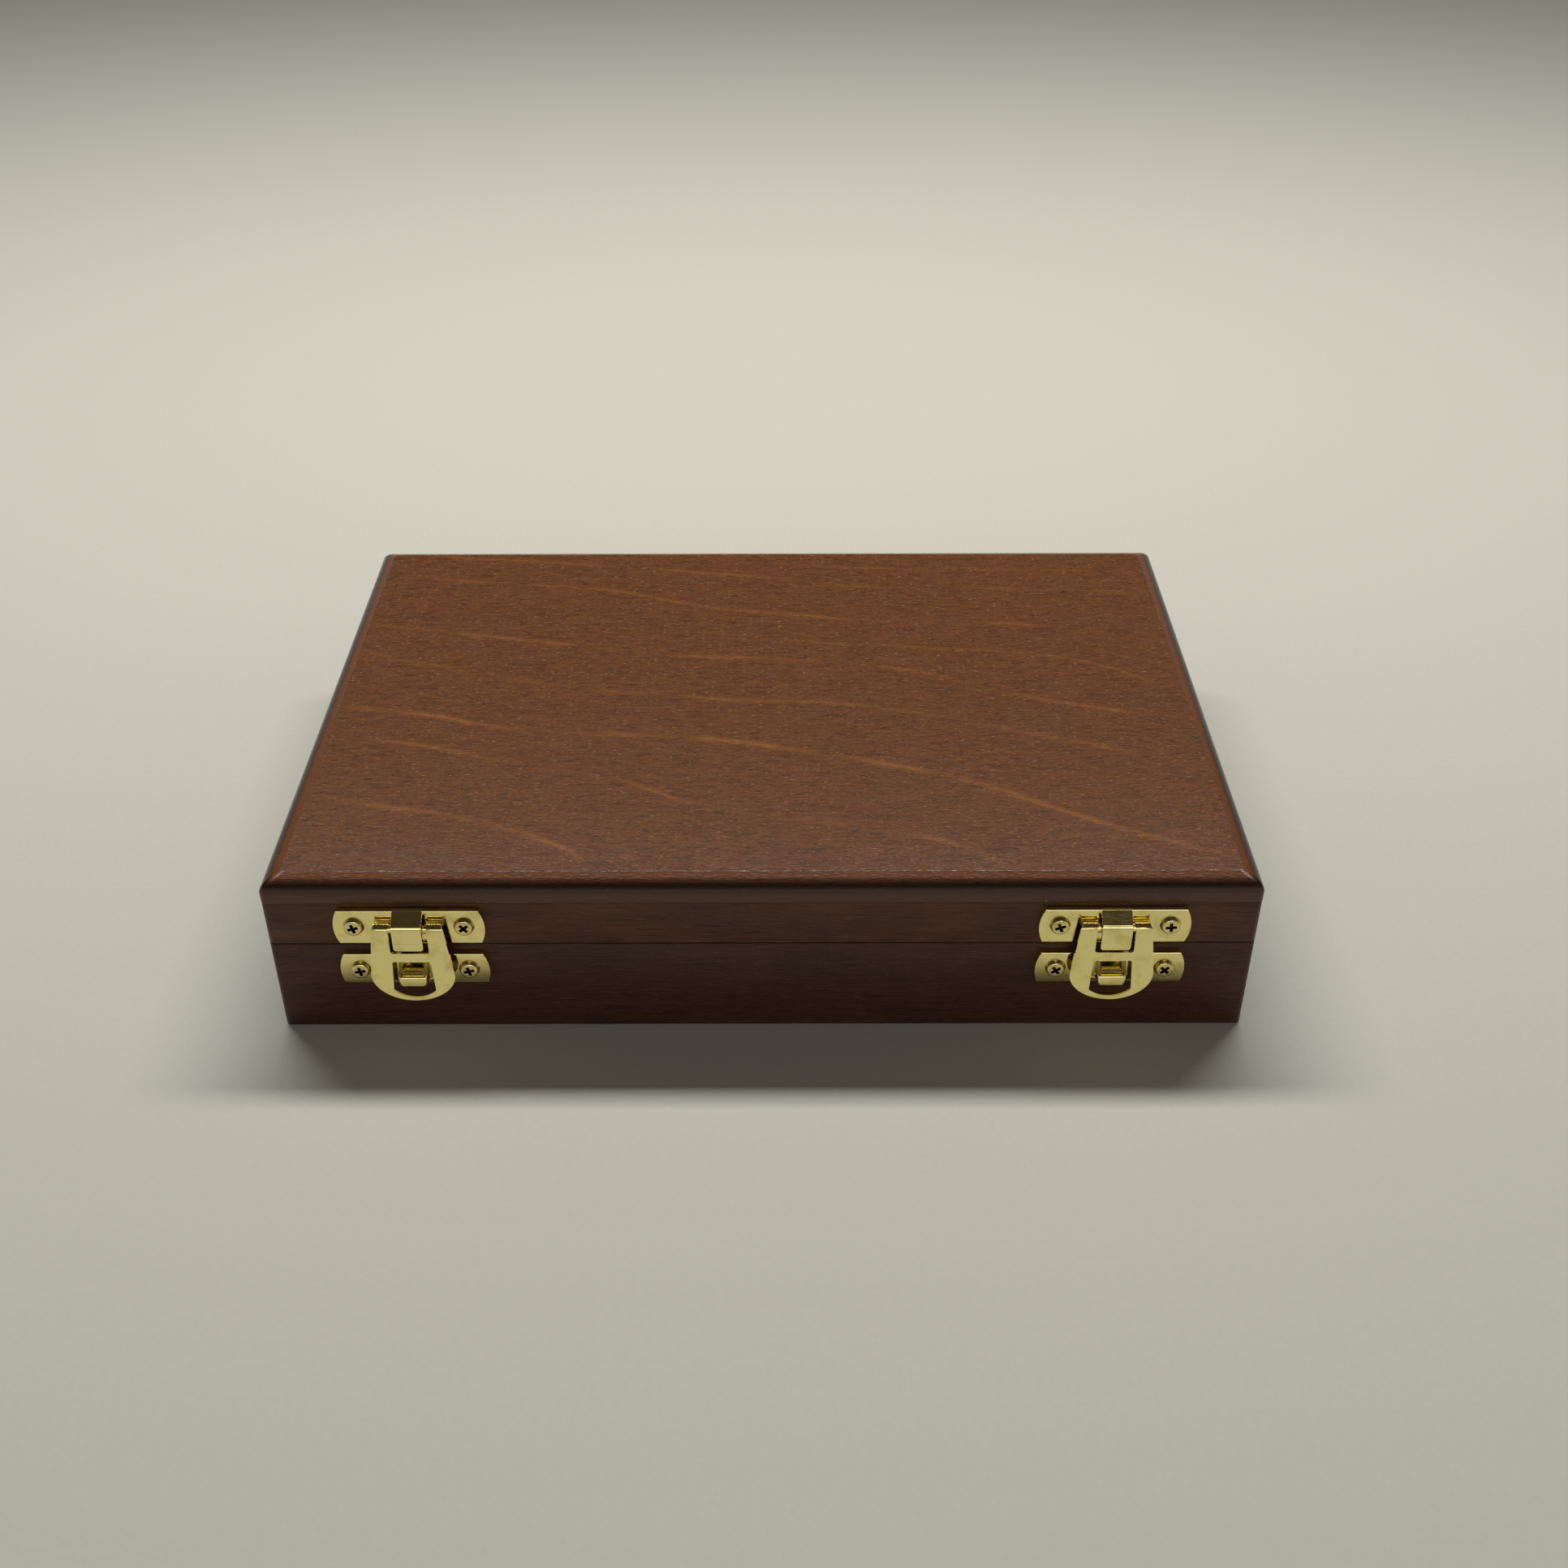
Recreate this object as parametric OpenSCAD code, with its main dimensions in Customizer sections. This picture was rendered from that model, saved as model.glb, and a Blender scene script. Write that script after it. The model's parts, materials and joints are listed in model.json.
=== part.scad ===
// Hinged wooden presentation case: a base and a lid of mitred boards, two
// stop-bevelled brass hinges at the back and two stamped brass latches in front.
// Origin: centre of the underside. +X to the right, +Y to the back, +Z up.

/* [Case] */
// Outer width of the boards
case_w = 230; // [200:1:300]
// Outer depth of the boards
case_d = 162; // [130:1:240]
// Height of the base, up to the parting line
base_h = 25.5; // [24:0.5:60]
// Height of the lid with its top panel
lid_h = 18; // [17.5:0.5:40]
// Thickness of the boards
wall_t = 10; // [9.5:0.5:14]
// Radius of the upright outer corners
corner_r = 1.5; // [0.5:0.1:3]

/* [Panels] */
// Thickness of the top panel
top_t = 6; // [5:0.1:7]
// How far the top panel overhangs the lid frame
top_lip = 0.2; // [0:0.05:1]
// Width of the rounded edge of the top panel
round_run = 4.4; // [2:0.1:6]
// Drop of the rounded edge of the top panel
round_drop = 3.2; // [1:0.1:4.5]
// Thickness of the floor panel
floor_t = 4; // [3:0.1:6]
// Width of the rebate that holds the floor panel
rebate_w = 5; // [3:0.1:7]
// Gap around the floor panel in its rebate
panel_gap = 0.15; // [0.05:0.05:0.4]

/* [Lining] */
// Thickness of the velvet-covered side strips
strip_t = 2; // [1.5:0.1:4]
// How far the side strips stay below the rim of the base
strip_drop = 1.5; // [0.5:0.1:5]
// Thickness of the velvet floor pad
pad_t = 5; // [3:0.1:8]
// Thickness of the satin lid pad
lid_pad_t = 6; // [3:0.1:8]
// Gap around the soft pads
pad_gap = 0.3; // [0.2:0.05:0.6]

/* [Hinges] */
// Distance of each hinge's middle from the side of the case
hinge_inset = 45; // [30:1:75]
// Length of a hinge
hinge_len = 30; // [24:1:40]
// Width of a leaf, from the hinge axis
leaf_w = 6.6; // [6:0.1:7.5]
// Thickness of a leaf
leaf_t = 1; // [0.8:0.1:1.2]
// Distance of the hinge axis from the back face
axis_inset = 3; // [2.5:0.1:3.4]
// Radius of the knuckles
knuckle_r = 1.75; // [1.6:0.05:2]
// Radius of the hinge pin
pin_r = 0.75; // [0.6:0.05:0.85]
// Radial clearance of the hinge pin
pin_gap = 0.05; // [0.02:0.01:0.1]
// Gap between neighbouring knuckles
knuckle_gap = 0.15; // [0.1:0.05:0.3]
// Clearance round the barrel in the wood
barrel_gap = 0.35; // [0.3:0.05:0.5]
// Angle at which the bevelled back edges stop the lid
lid_stop = 95; // [90:1:100]

/* [Latch plates] */
// Distance of each latch's middle from the side of the case
latch_inset = 33.8; // [30:0.1:60]
// Half width of a plate at its widest
plate_half = 17.45; // [17:0.05:19]
// Height of a plate
plate_h = 9.8; // [9.6:0.1:10.4]
// Swell of a plate's curved ends
plate_swell = 1.25; // [0.8:0.05:2]
// Depth of a pressed plate, from the wood to its face
plate_depth = 2; // [1.8:0.1:2.4]
// Thickness of the sheet brass
sheet_t = 0.8; // [0.6:0.05:0.9]
// Height of the upper plate's lower edge over the parting line
upper_rise = 1.6; // [1.2:0.1:2.2]
// Drop of the lower plate's upper edge under the parting line
lower_drop = 1.5; // [1:0.1:2]
// Radius of the rolled lower edge of the lower plate
roll_back_r = 1.9; // [1:0.1:2]

/* [Latch lever] */
// Radius of the lever's rolled top edge
roll_r = 1.3; // [1.1:0.05:1.4]
// Radial clearance of the rolled edge in its hook
roll_gap = 0.05; // [0.02:0.01:0.1]
// Height of the lever's axis over the parting line
lever_rise = 7.25; // [6.8:0.05:7.6]
// Length of the lever below its axis
lever_len = 20.9; // [20.5:0.1:22]
// Half width of the lever at its top
lever_top_half = 8.2; // [7.4:0.1:8.4]
// Half width of the lever at its widest
lever_low_half = 9.8; // [9.2:0.1:9.9]
// Radius of the lever's rounded end
lever_end_r = 11; // [10.5:0.1:12]
// Thickness of the lever
lever_t = 0.9; // [0.7:0.05:1]
// How far the rolled edge stands proud of the lever's face
roll_proud = 0.1; // [0.05:0.05:0.3]
// Half width of the windows in the lever
window_half = 4.4; // [4.2:0.05:4.7]
// Height of the bar between the windows
bar_h = 2.5; // [2.4:0.1:2.8]
// Height of the lower window
low_window_h = 10.65; // [10.4:0.05:10.8]
// Width of the rim under the lower window
rim_h = 1.4; // [1.2:0.1:1.8]

/* [Hook and catch] */
// Half width of the hooked tab
tab_half = 3.6; // [3.2:0.05:3.8]
// Length of the tab's front leg below the lever's axis
tab_leg = 5; // [4.6:0.1:5.2]
// Height of the tab's bend over the lever's axis
bend_rise = 1.35; // [1.2:0.05:1.5]
// Outer radius of the tab's bend
bend_r = 0.9; // [0.7:0.1:1.1]
// Half width of the catch
catch_half = 3.5; // [3:0.05:3.7]
// How far the catch stands in front of the lower plate
catch_out = 3.8; // [3.2:0.1:4.2]
// Height of the catch's root on the plate
catch_root_h = 6.3; // [6:0.1:6.6]
// Height of the catch's front face
catch_nose_h = 2.8; // [2.5:0.1:3.2]

/* [Screws] */
// Distance of a plate's screws from its middle
screw_x = 12.7; // [12.7:0.05:13.2]
// Radius of a latch screw's head
head_r = 2.4; // [2.2:0.05:2.45]
// Height of a latch screw's head
head_h = 1.1; // [1:0.1:1.6]
// Radius of a latch screw's shank
shank_r = 1.1; // [0.9:0.05:1.3]
// Length of a latch screw under its head
shank_len = 9.5; // [7:0.1:10]
// Radius of a hinge screw's flush head
hinge_head_r = 1.9; // [1.7:0.05:2.1]
// Radius of a hinge screw's shank
hinge_shank_r = 0.9; // [0.7:0.05:1]
// Length of a hinge screw
hinge_screw_len = 8; // [6:0.1:9]
// Clearance of a shank in its hole
hole_gap = 0.05; // [0.03:0.01:0.1]
// Width of a cross recess
cross_w = 0.8; // [0.6:0.05:0.9]
// Reach of a cross recess from its middle
cross_reach = 1.4; // [1.2:0.05:1.5]
// Depth of a latch screw's cross recess
cross_depth = 0.8; // [0.6:0.05:0.9]

/* [Hidden] */
$fn = 64;
far = 400;
over = 1;

walnut = "#5a3020";
walnut_dark = "#3c241c";
ply = "#a58a66";
velvet = "#1d2a4a";
satin = "#d8cdb4";
brass = "#cdbf86";

// Heights
lid_frame_h = lid_h - top_t;
frame_top_z = base_h + lid_frame_h;
front_y = -case_d / 2;
back_y = case_d / 2;

// Hinge
hinge_x = case_w / 2 - hinge_inset;
axis_y = back_y - axis_inset;
stop_play = 0.6;
bevel_angle = (lid_stop + stop_play) / 2;
knuckles = 5;
knuckle_len = hinge_len / knuckles;
pocket_gap = 0.1;
screw_end_gap = 5;
hinge_screw_x = hinge_len / 2 - screw_end_gap;
hinge_screw_y = axis_y - (leaf_w + knuckle_r) / 2;
head_sink = 0.05;
hinge_head_h = leaf_t - 2 * head_sink;

// Latch
latch_x = case_w / 2 - latch_inset;
swell_r = (plate_h * plate_h / 4 + plate_swell * plate_swell) / (2 * plate_swell);
upper_z = base_h + upper_rise + plate_h / 2;
lower_z = base_h - lower_drop - plate_h / 2;
screw_lift = 0.5;
upper_screw_z = upper_z + screw_lift;
lower_screw_z = lower_z + screw_lift;
press_inner_r = 0.2;
press_r = sheet_t + press_inner_r;
tab_root_drop = 0.4;
window_to_catch = 0.6;
wide_drop = 14.5;
lever_z = base_h + lever_rise;
hook_r = roll_r + roll_gap;
lever_out = plate_depth + hook_r;
lever_back = lever_out + roll_r - roll_proud - lever_t;
slope_z = upper_z + plate_h / 2 - tab_root_drop;
rim_z = lever_z - lever_len + rim_h;
low_window_top = rim_z + low_window_h;
bar_top = low_window_top + bar_h;
catch_z = low_window_top - window_to_catch - catch_root_h;
nose_r = 0.9;
wide_z = lever_z - wide_drop;
sides = [-1, 1];

// ---- wood ----

// Plan of the case grown by a lip, with rounded corners
module plan(lip = 0) {
    w = case_w + 2 * lip;
    d = case_d + 2 * lip;
    square([w - 2 * corner_r, d], center = true);
    square([w, d - 2 * corner_r], center = true);
    for (x = [-1, 1], y = [-1, 1])
        translate([x * (w / 2 - corner_r), y * (d / 2 - corner_r)])
            circle(corner_r);
}

// Plan of the front board, mitred at both ends
module front_plan() {
    intersection() {
        plan();
        polygon([
            [-case_w / 2, front_y],
            [case_w / 2, front_y],
            [case_w / 2 - wall_t, front_y + wall_t],
            [-case_w / 2 + wall_t, front_y + wall_t]
        ]);
    }
}

// Plan of the left board, mitred at both ends
module left_plan() {
    intersection() {
        plan();
        polygon([
            [-case_w / 2, front_y],
            [-case_w / 2 + wall_t, front_y + wall_t],
            [-case_w / 2 + wall_t, back_y - wall_t],
            [-case_w / 2, back_y]
        ]);
    }
}

// Wedge cut off the back edge on one side of the parting line; up is 1 for the lid, -1 for the base
module back_bevel(up) {
    reach = axis_inset + over;
    translate([-far / 2, axis_y, base_h])
        rotate([90, 0, 90])
            linear_extrude(far)
                polygon([[0, 0], [reach, 0], [reach, up * reach * tan(bevel_angle)]]);
}

// Room for the two hinges in the rim on one side of the parting line
module hinge_pockets(up) {
    slot_len = hinge_len + 2 * pocket_gap;
    slot_w = leaf_w + pocket_gap;
    for (f = sides) translate([f * hinge_x, axis_y, base_h]) {
        translate([-slot_len / 2, 0, 0])
            rotate([0, 90, 0])
                cylinder(r = knuckle_r + barrel_gap, h = slot_len);
        translate([-slot_len / 2, -slot_w, up > 0 ? 0 : -leaf_t])
            cube([slot_len, slot_w, leaf_t]);
    }
}

// Bore for a screw driven along Z, with its mouth at z = 0
module bore(r, len) {
    translate([0, 0, -len])
        cylinder(r = r + hole_gap, h = len + over);
}

module hinge_bores(up) {
    for (f = sides, s = [-1, 1])
        translate([f * hinge_x + s * hinge_screw_x, hinge_screw_y, base_h])
            mirror([0, 0, up > 0 ? 1 : 0])
                bore(hinge_shank_r, hinge_screw_len + hole_gap);
}

// Bores for the latch screws at height z in the front wall
module latch_bores(z) {
    for (x = [-latch_x, latch_x], s = [-1, 1])
        translate([x + s * screw_x, front_y, z])
            rotate([90, 0, 0])
                bore(shank_r, shank_len - plate_depth + hole_gap);
}

// Rebate for the floor panel
module floor_rebate() {
    translate([-case_w / 2 + wall_t - rebate_w, front_y + wall_t - rebate_w, -over])
        cube([case_w - 2 * (wall_t - rebate_w), case_d - 2 * (wall_t - rebate_w), floor_t + over]);
}

module base_front_board() {
    color(walnut_dark) difference() {
        linear_extrude(base_h) front_plan();
        floor_rebate();
        latch_bores(lower_screw_z);
    }
}

module base_back_board() {
    color(walnut_dark) difference() {
        linear_extrude(base_h) mirror([0, 1, 0]) front_plan();
        floor_rebate();
        back_bevel(-1);
        hinge_pockets(-1);
        hinge_bores(-1);
    }
}

module base_left_board() {
    color(walnut_dark) difference() {
        linear_extrude(base_h) left_plan();
        floor_rebate();
        back_bevel(-1);
    }
}

module base_right_board() {
    mirror([1, 0, 0]) base_left_board();
}

module floor_panel() {
    edge = wall_t - rebate_w + panel_gap;
    color(ply)
        translate([-case_w / 2 + edge, front_y + edge, 0])
            cube([case_w - 2 * edge, case_d - 2 * edge, floor_t]);
}

module lid_front_rail() {
    color(walnut_dark) difference() {
        translate([0, 0, base_h]) linear_extrude(lid_frame_h) front_plan();
        latch_bores(upper_screw_z);
    }
}

module lid_back_rail() {
    color(walnut_dark) difference() {
        translate([0, 0, base_h]) linear_extrude(lid_frame_h) mirror([0, 1, 0]) front_plan();
        back_bevel(1);
        hinge_pockets(1);
        hinge_bores(1);
    }
}

module lid_left_rail() {
    color(walnut_dark) difference() {
        translate([0, 0, base_h]) linear_extrude(lid_frame_h) left_plan();
        back_bevel(1);
    }
}

module lid_right_rail() {
    mirror([1, 0, 0]) lid_left_rail();
}

// Cross-section of the top panel over a width, with both upper edges rounded
module panel_section(w) {
    steps = 8;
    turns = [for (i = [0:steps]) 90 * i / steps];
    right = [for (a = turns)
        [w / 2 - round_run * (1 - cos(a)), top_t - round_drop * (1 - sin(a))]];
    left = [for (i = [steps:-1:0]) [-right[i][0], right[i][1]]];
    polygon(concat([[-w / 2, 0], [w / 2, 0]], right, left));
}

module top_panel() {
    w = case_w + 2 * top_lip;
    d = case_d + 2 * top_lip;
    color(walnut) translate([0, 0, frame_top_z]) intersection() {
        linear_extrude(top_t) plan(top_lip);
        rotate([90, 0, 0]) linear_extrude(far, center = true) panel_section(w);
        rotate([90, 0, 90]) linear_extrude(far, center = true) panel_section(d);
    }
}

// ---- lining ----

strip_h = base_h - floor_t - strip_drop;
inner_w = case_w - 2 * wall_t;
inner_d = case_d - 2 * wall_t;

module front_lining_strip() {
    color(velvet)
        translate([-inner_w / 2, -inner_d / 2, floor_t])
            cube([inner_w, strip_t, strip_h]);
}

module back_lining_strip() {
    mirror([0, 1, 0]) front_lining_strip();
}

module left_lining_strip() {
    color(velvet)
        translate([-inner_w / 2, -inner_d / 2 + strip_t, floor_t])
            cube([strip_t, inner_d - 2 * strip_t, strip_h]);
}

module right_lining_strip() {
    mirror([1, 0, 0]) left_lining_strip();
}

module floor_pad() {
    w = inner_w - 2 * (strip_t + pad_gap);
    d = inner_d - 2 * (strip_t + pad_gap);
    color(velvet)
        translate([-w / 2, -d / 2, floor_t])
            cube([w, d, pad_t]);
}

module lid_pad() {
    w = inner_w - 2 * pad_gap;
    d = inner_d - 2 * pad_gap;
    color(satin)
        translate([-w / 2, -d / 2, frame_top_z - lid_pad_t])
            cube([w, d, lid_pad_t]);
}

// ---- latches ----

// Lay a front view (x, z) on the front wall at a distance, as thick as given
module on_front(out, thick) {
    translate([0, front_y - out, 0])
        rotate([90, 0, 0])
            linear_extrude(thick)
                children();
}

// Lay a side view (distance from the wall, z) across a half width
module across(half) {
    translate([-half, front_y, 0])
        rotate([90, 0, 90])
            linear_extrude(2 * half)
                mirror([1, 0])
                    children();
}

// Front view of a plate shrunk by an inset, centred on its middle
module plate_front(inset) {
    intersection() {
        square([2 * plate_half, plate_h - 2 * inset], center = true);
        for (s = [-1, 1])
            translate([s * (plate_half - swell_r), 0])
                circle(swell_r - inset);
    }
}

// What rounding by r takes off the front corner at height z; up is 1 for an upper corner
module corner_cut(out, z, r, up) {
    difference() {
        translate([out - r, up > 0 ? z - r : z - over])
            square(r + over);
        translate([out - r, z - up * r])
            circle(r);
    }
}

// Side view of a plate shrunk by an inset, its two front edges rounded
module plate_side(inset, top_r, low_r) {
    half = plate_h / 2 - inset;
    out = plate_depth - inset;
    difference() {
        translate([-over, -half]) square([out + over, 2 * half]);
        corner_cut(out, half, top_r - inset, 1);
        corner_cut(out, -half, low_r - inset, -1);
    }
}

// Solid form of a plate shrunk by an inset, reaching back by a distance
module plate_form(inset, back, low_r) {
    intersection() {
        on_front(-back, plate_depth + back) plate_front(inset);
        across(plate_half) plate_side(inset, press_r, low_r);
    }
}

// Plate pressed from sheet, with its screw holes, centred on height 0
module pressed_plate(low_r) {
    difference() {
        plate_form(0, 0, low_r);
        plate_form(sheet_t, over, low_r);
        for (s = [-1, 1])
            translate([s * screw_x, front_y + over, screw_lift])
                rotate([90, 0, 0])
                    cylinder(r = shank_r + hole_gap, h = plate_depth + 2 * over);
    }
}

// Direction of the line from p that touches the upper side of a circle round c
function touch_dir(p, c, r) = atan2(c[1] - p[1], c[0] - p[0]) + asin(r / norm(c - p));

// Point at radius r round c, in the direction a
function polar(c, r, a) = c + r * [cos(a), sin(a)];

// Side view of the hooked tab that carries the lever
module hook_side() {
    root = [plate_depth, slope_z];
    axis = [lever_out, lever_z];
    out = lever_out + hook_r + sheet_t;
    bend = [out - bend_r, lever_z + bend_rise];
    lean = touch_dir(root, bend, bend_r) + 90;
    difference() {
        union() {
            polygon([
                root,
                polar(bend, bend_r, lean),
                bend,
                [out, bend[1]],
                [out, lever_z],
                axis,
                polar(axis, hook_r, lean),
                polar(root, -sheet_t, lean)
            ]);
            translate(bend) circle(bend_r);
        }
        translate(axis) circle(hook_r);
    }
    translate(axis + [hook_r, -tab_leg])
        square([sheet_t, tab_leg]);
}

module upper_plate(x) {
    color(brass) translate([x, 0, 0]) {
        translate([0, 0, upper_z]) pressed_plate(press_r);
        across(tab_half) hook_side();
    }
}

// Side view of the catch: a flat underside, a blunt nose and a sloping top
module catch_side() {
    out = plate_depth + catch_out;
    root = [plate_depth, catch_z + catch_root_h];
    low = [out - nose_r, catch_z + nose_r];
    high = [out - nose_r, catch_z + catch_nose_h - nose_r];
    lean = touch_dir(root, high, nose_r) + 90;
    polygon([
        [plate_depth, catch_z],
        [low[0], catch_z],
        low,
        [out, low[1]],
        [out, high[1]],
        high,
        polar(high, nose_r, lean),
        root
    ]);
    translate(low) circle(nose_r);
    translate(high) circle(nose_r);
}

module lower_plate(x) {
    color(brass) translate([x, 0, 0]) {
        translate([0, 0, lower_z]) pressed_plate(roll_back_r);
        across(catch_half) catch_side();
    }
}

// Front view of the lever's outline, without its windows
module lever_front() {
    low_z = lever_z - lever_len;
    round_z = low_z + lever_end_r;
    intersection() {
        polygon([
            [-lever_top_half, lever_z],
            [-lever_low_half, wide_z],
            [-lever_low_half, low_z],
            [lever_low_half, low_z],
            [lever_low_half, wide_z],
            [lever_top_half, lever_z]
        ]);
        union() {
            translate([0, round_z]) circle(lever_end_r);
            translate([-far / 2, round_z]) square([far, far]);
        }
    }
}

// Front view of the two windows: the upper one is open towards the rolled edge
module lever_windows() {
    translate([-window_half, bar_top])
        square([2 * window_half, lever_z - bar_top + over]);
    intersection() {
        translate([-window_half, rim_z])
            square([2 * window_half, low_window_h]);
        translate([0, rim_z + lever_end_r - rim_h])
            circle(lever_end_r - rim_h);
    }
    translate([-window_half, rim_z + lever_end_r - rim_h])
        square([2 * window_half, low_window_top - rim_z - lever_end_r + rim_h]);
}

module lever(x) {
    color(brass) translate([x, 0, 0]) {
        on_front(lever_back, lever_t) difference() {
            lever_front();
            lever_windows();
        }
        translate([-lever_top_half, front_y - lever_out, lever_z])
            rotate([0, 90, 0])
                cylinder(r = roll_r, h = 2 * lever_top_half);
    }
}

module upper_latch_plate_left() { upper_plate(-latch_x); }
module upper_latch_plate_right() { upper_plate(latch_x); }
module lower_latch_plate_left() { lower_plate(-latch_x); }
module lower_latch_plate_right() { lower_plate(latch_x); }
module latch_lever_left() { lever(-latch_x); }
module latch_lever_right() { lever(latch_x); }

// ---- screws ----

// Cross recess, cut from height 0 downwards
module cross_recess(r, depth) {
    for (a = [0, 90])
        rotate([0, 0, a])
            translate([-r, -cross_w / 2, -depth])
                cube([2 * r, cross_w, depth + over]);
}

// Pan-head screw standing on z = 0, turned by an angle
module latch_screw(turn) {
    rotate([0, 0, turn]) difference() {
        union() {
            rotate_extrude() difference() {
                square([head_r, head_h]);
                corner_cut(head_r, head_h, head_h / 3, 1);
            }
            translate([0, 0, -shank_len + shank_r]) cylinder(r = shank_r, h = shank_len - shank_r);
            translate([0, 0, -shank_len]) cylinder(r1 = 0, r2 = shank_r, h = shank_r);
        }
        translate([0, 0, head_h]) cross_recess(cross_reach, cross_depth);
    }
}

// The four screws of the plates at height z
module latch_screws(z, turns) {
    color(brass)
        for (i = [0:3])
            translate([
                (i < 2 ? -latch_x : latch_x) + (i % 2 == 0 ? -screw_x : screw_x),
                front_y - plate_depth,
                z
            ])
                rotate([90, 0, 0])
                    latch_screw(turns[i]);
}

module upper_latch_screws() { latch_screws(upper_screw_z, [15, 40, 20, 5]); }
module lower_latch_screws() { latch_screws(lower_screw_z, [10, 15, 35, 45]); }

// Countersunk screw, its head just under z = 0
module hinge_screw() {
    difference() {
        union() {
            translate([0, 0, -head_sink - hinge_head_h])
                cylinder(r1 = hinge_shank_r, r2 = hinge_head_r, h = hinge_head_h);
            translate([0, 0, -hinge_screw_len])
                cylinder(r = hinge_shank_r, h = hinge_screw_len - head_sink - hinge_head_h);
        }
        translate([0, 0, -head_sink]) cross_recess(cross_reach, hinge_head_h);
    }
}

module hinge_screws(up) {
    color(brass)
        for (f = sides, s = [-1, 1])
            translate([f * hinge_x + s * hinge_screw_x, hinge_screw_y, base_h])
                mirror([0, 0, up > 0 ? 1 : 0])
                    hinge_screw();
}

module base_hinge_screws() { hinge_screws(-1); }
module lid_hinge_screws() { hinge_screws(1); }

// ---- hinges ----

// Leaf with its knuckles; up is 1 for the lid's leaf, whose knuckles are the second and fourth
module hinge_leaf(x, up) {
    first = up > 0 ? 1 : 0;
    color(brass) translate([x - hinge_len / 2, axis_y, base_h]) difference() {
        union() {
            difference() {
                translate([0, -leaf_w, up > 0 ? 0 : -leaf_t])
                    cube([hinge_len, leaf_w, leaf_t]);
                for (i = [1 - first:2:knuckles - 1])
                    translate([i * knuckle_len - knuckle_gap, 0, 0])
                        rotate([0, 90, 0])
                            cylinder(r = knuckle_r + knuckle_gap, h = knuckle_len + 2 * knuckle_gap);
            }
            for (i = [first:2:knuckles - 1])
                translate([i * knuckle_len, 0, 0])
                    rotate([0, 90, 0])
                        cylinder(r = knuckle_r, h = knuckle_len);
        }
        translate([-over, 0, 0])
            rotate([0, 90, 0])
                cylinder(r = pin_r + pin_gap, h = hinge_len + 2 * over);
        for (s = [-1, 1])
            translate([hinge_len / 2 + s * hinge_screw_x, hinge_screw_y - axis_y, 0])
                mirror([0, 0, up > 0 ? 1 : 0])
                    countersink();
    }
}

// Hole for a countersunk screw's head, from height 0 downwards
module countersink() {
    slope = (hinge_head_r - hinge_shank_r) / hinge_head_h;
    low_r = hinge_shank_r + hole_gap;
    translate([0, 0, -leaf_t])
        cylinder(r1 = low_r, r2 = low_r + slope * leaf_t, h = leaf_t);
    translate([0, 0, -leaf_t - over]) cylinder(r = low_r, h = over);
    cylinder(r = low_r + slope * leaf_t, h = over);
}

module hinge_pin(x) {
    color(brass)
        translate([x - hinge_len / 2, axis_y, base_h])
            rotate([0, 90, 0])
                cylinder(r = pin_r, h = hinge_len);
}

module base_hinge_leaf_left() { hinge_leaf(-hinge_x, -1); }
module base_hinge_leaf_right() { hinge_leaf(hinge_x, -1); }
module lid_hinge_leaf_left() { hinge_leaf(-hinge_x, 1); }
module lid_hinge_leaf_right() { hinge_leaf(hinge_x, 1); }
module hinge_pin_left() { hinge_pin(-hinge_x); }
module hinge_pin_right() { hinge_pin(hinge_x); }

base_front_board();
base_back_board();
base_left_board();
base_right_board();
floor_panel();
front_lining_strip();
back_lining_strip();
left_lining_strip();
right_lining_strip();
floor_pad();
lid_front_rail();
lid_back_rail();
lid_left_rail();
lid_right_rail();
top_panel();
lid_pad();
upper_latch_plate_left();
upper_latch_plate_right();
upper_latch_screws();
lower_latch_plate_left();
lower_latch_plate_right();
lower_latch_screws();
latch_lever_left();
latch_lever_right();
base_hinge_leaf_left();
base_hinge_leaf_right();
base_hinge_screws();
lid_hinge_leaf_left();
lid_hinge_leaf_right();
lid_hinge_screws();
hinge_pin_left();
hinge_pin_right();
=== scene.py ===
"""Looks of a hinged wooden presentation case with two stamped brass latches.

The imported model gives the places. The boards, the top, the latches, their screws, the lining and
the pads are modelled here in full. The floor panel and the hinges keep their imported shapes.
"""

import json
import logging
import math
from collections.abc import Callable, Iterator
from contextlib import contextmanager
from dataclasses import dataclass
from enum import Enum

import bmesh
import bpy
from mathutils import Matrix, Vector

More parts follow.
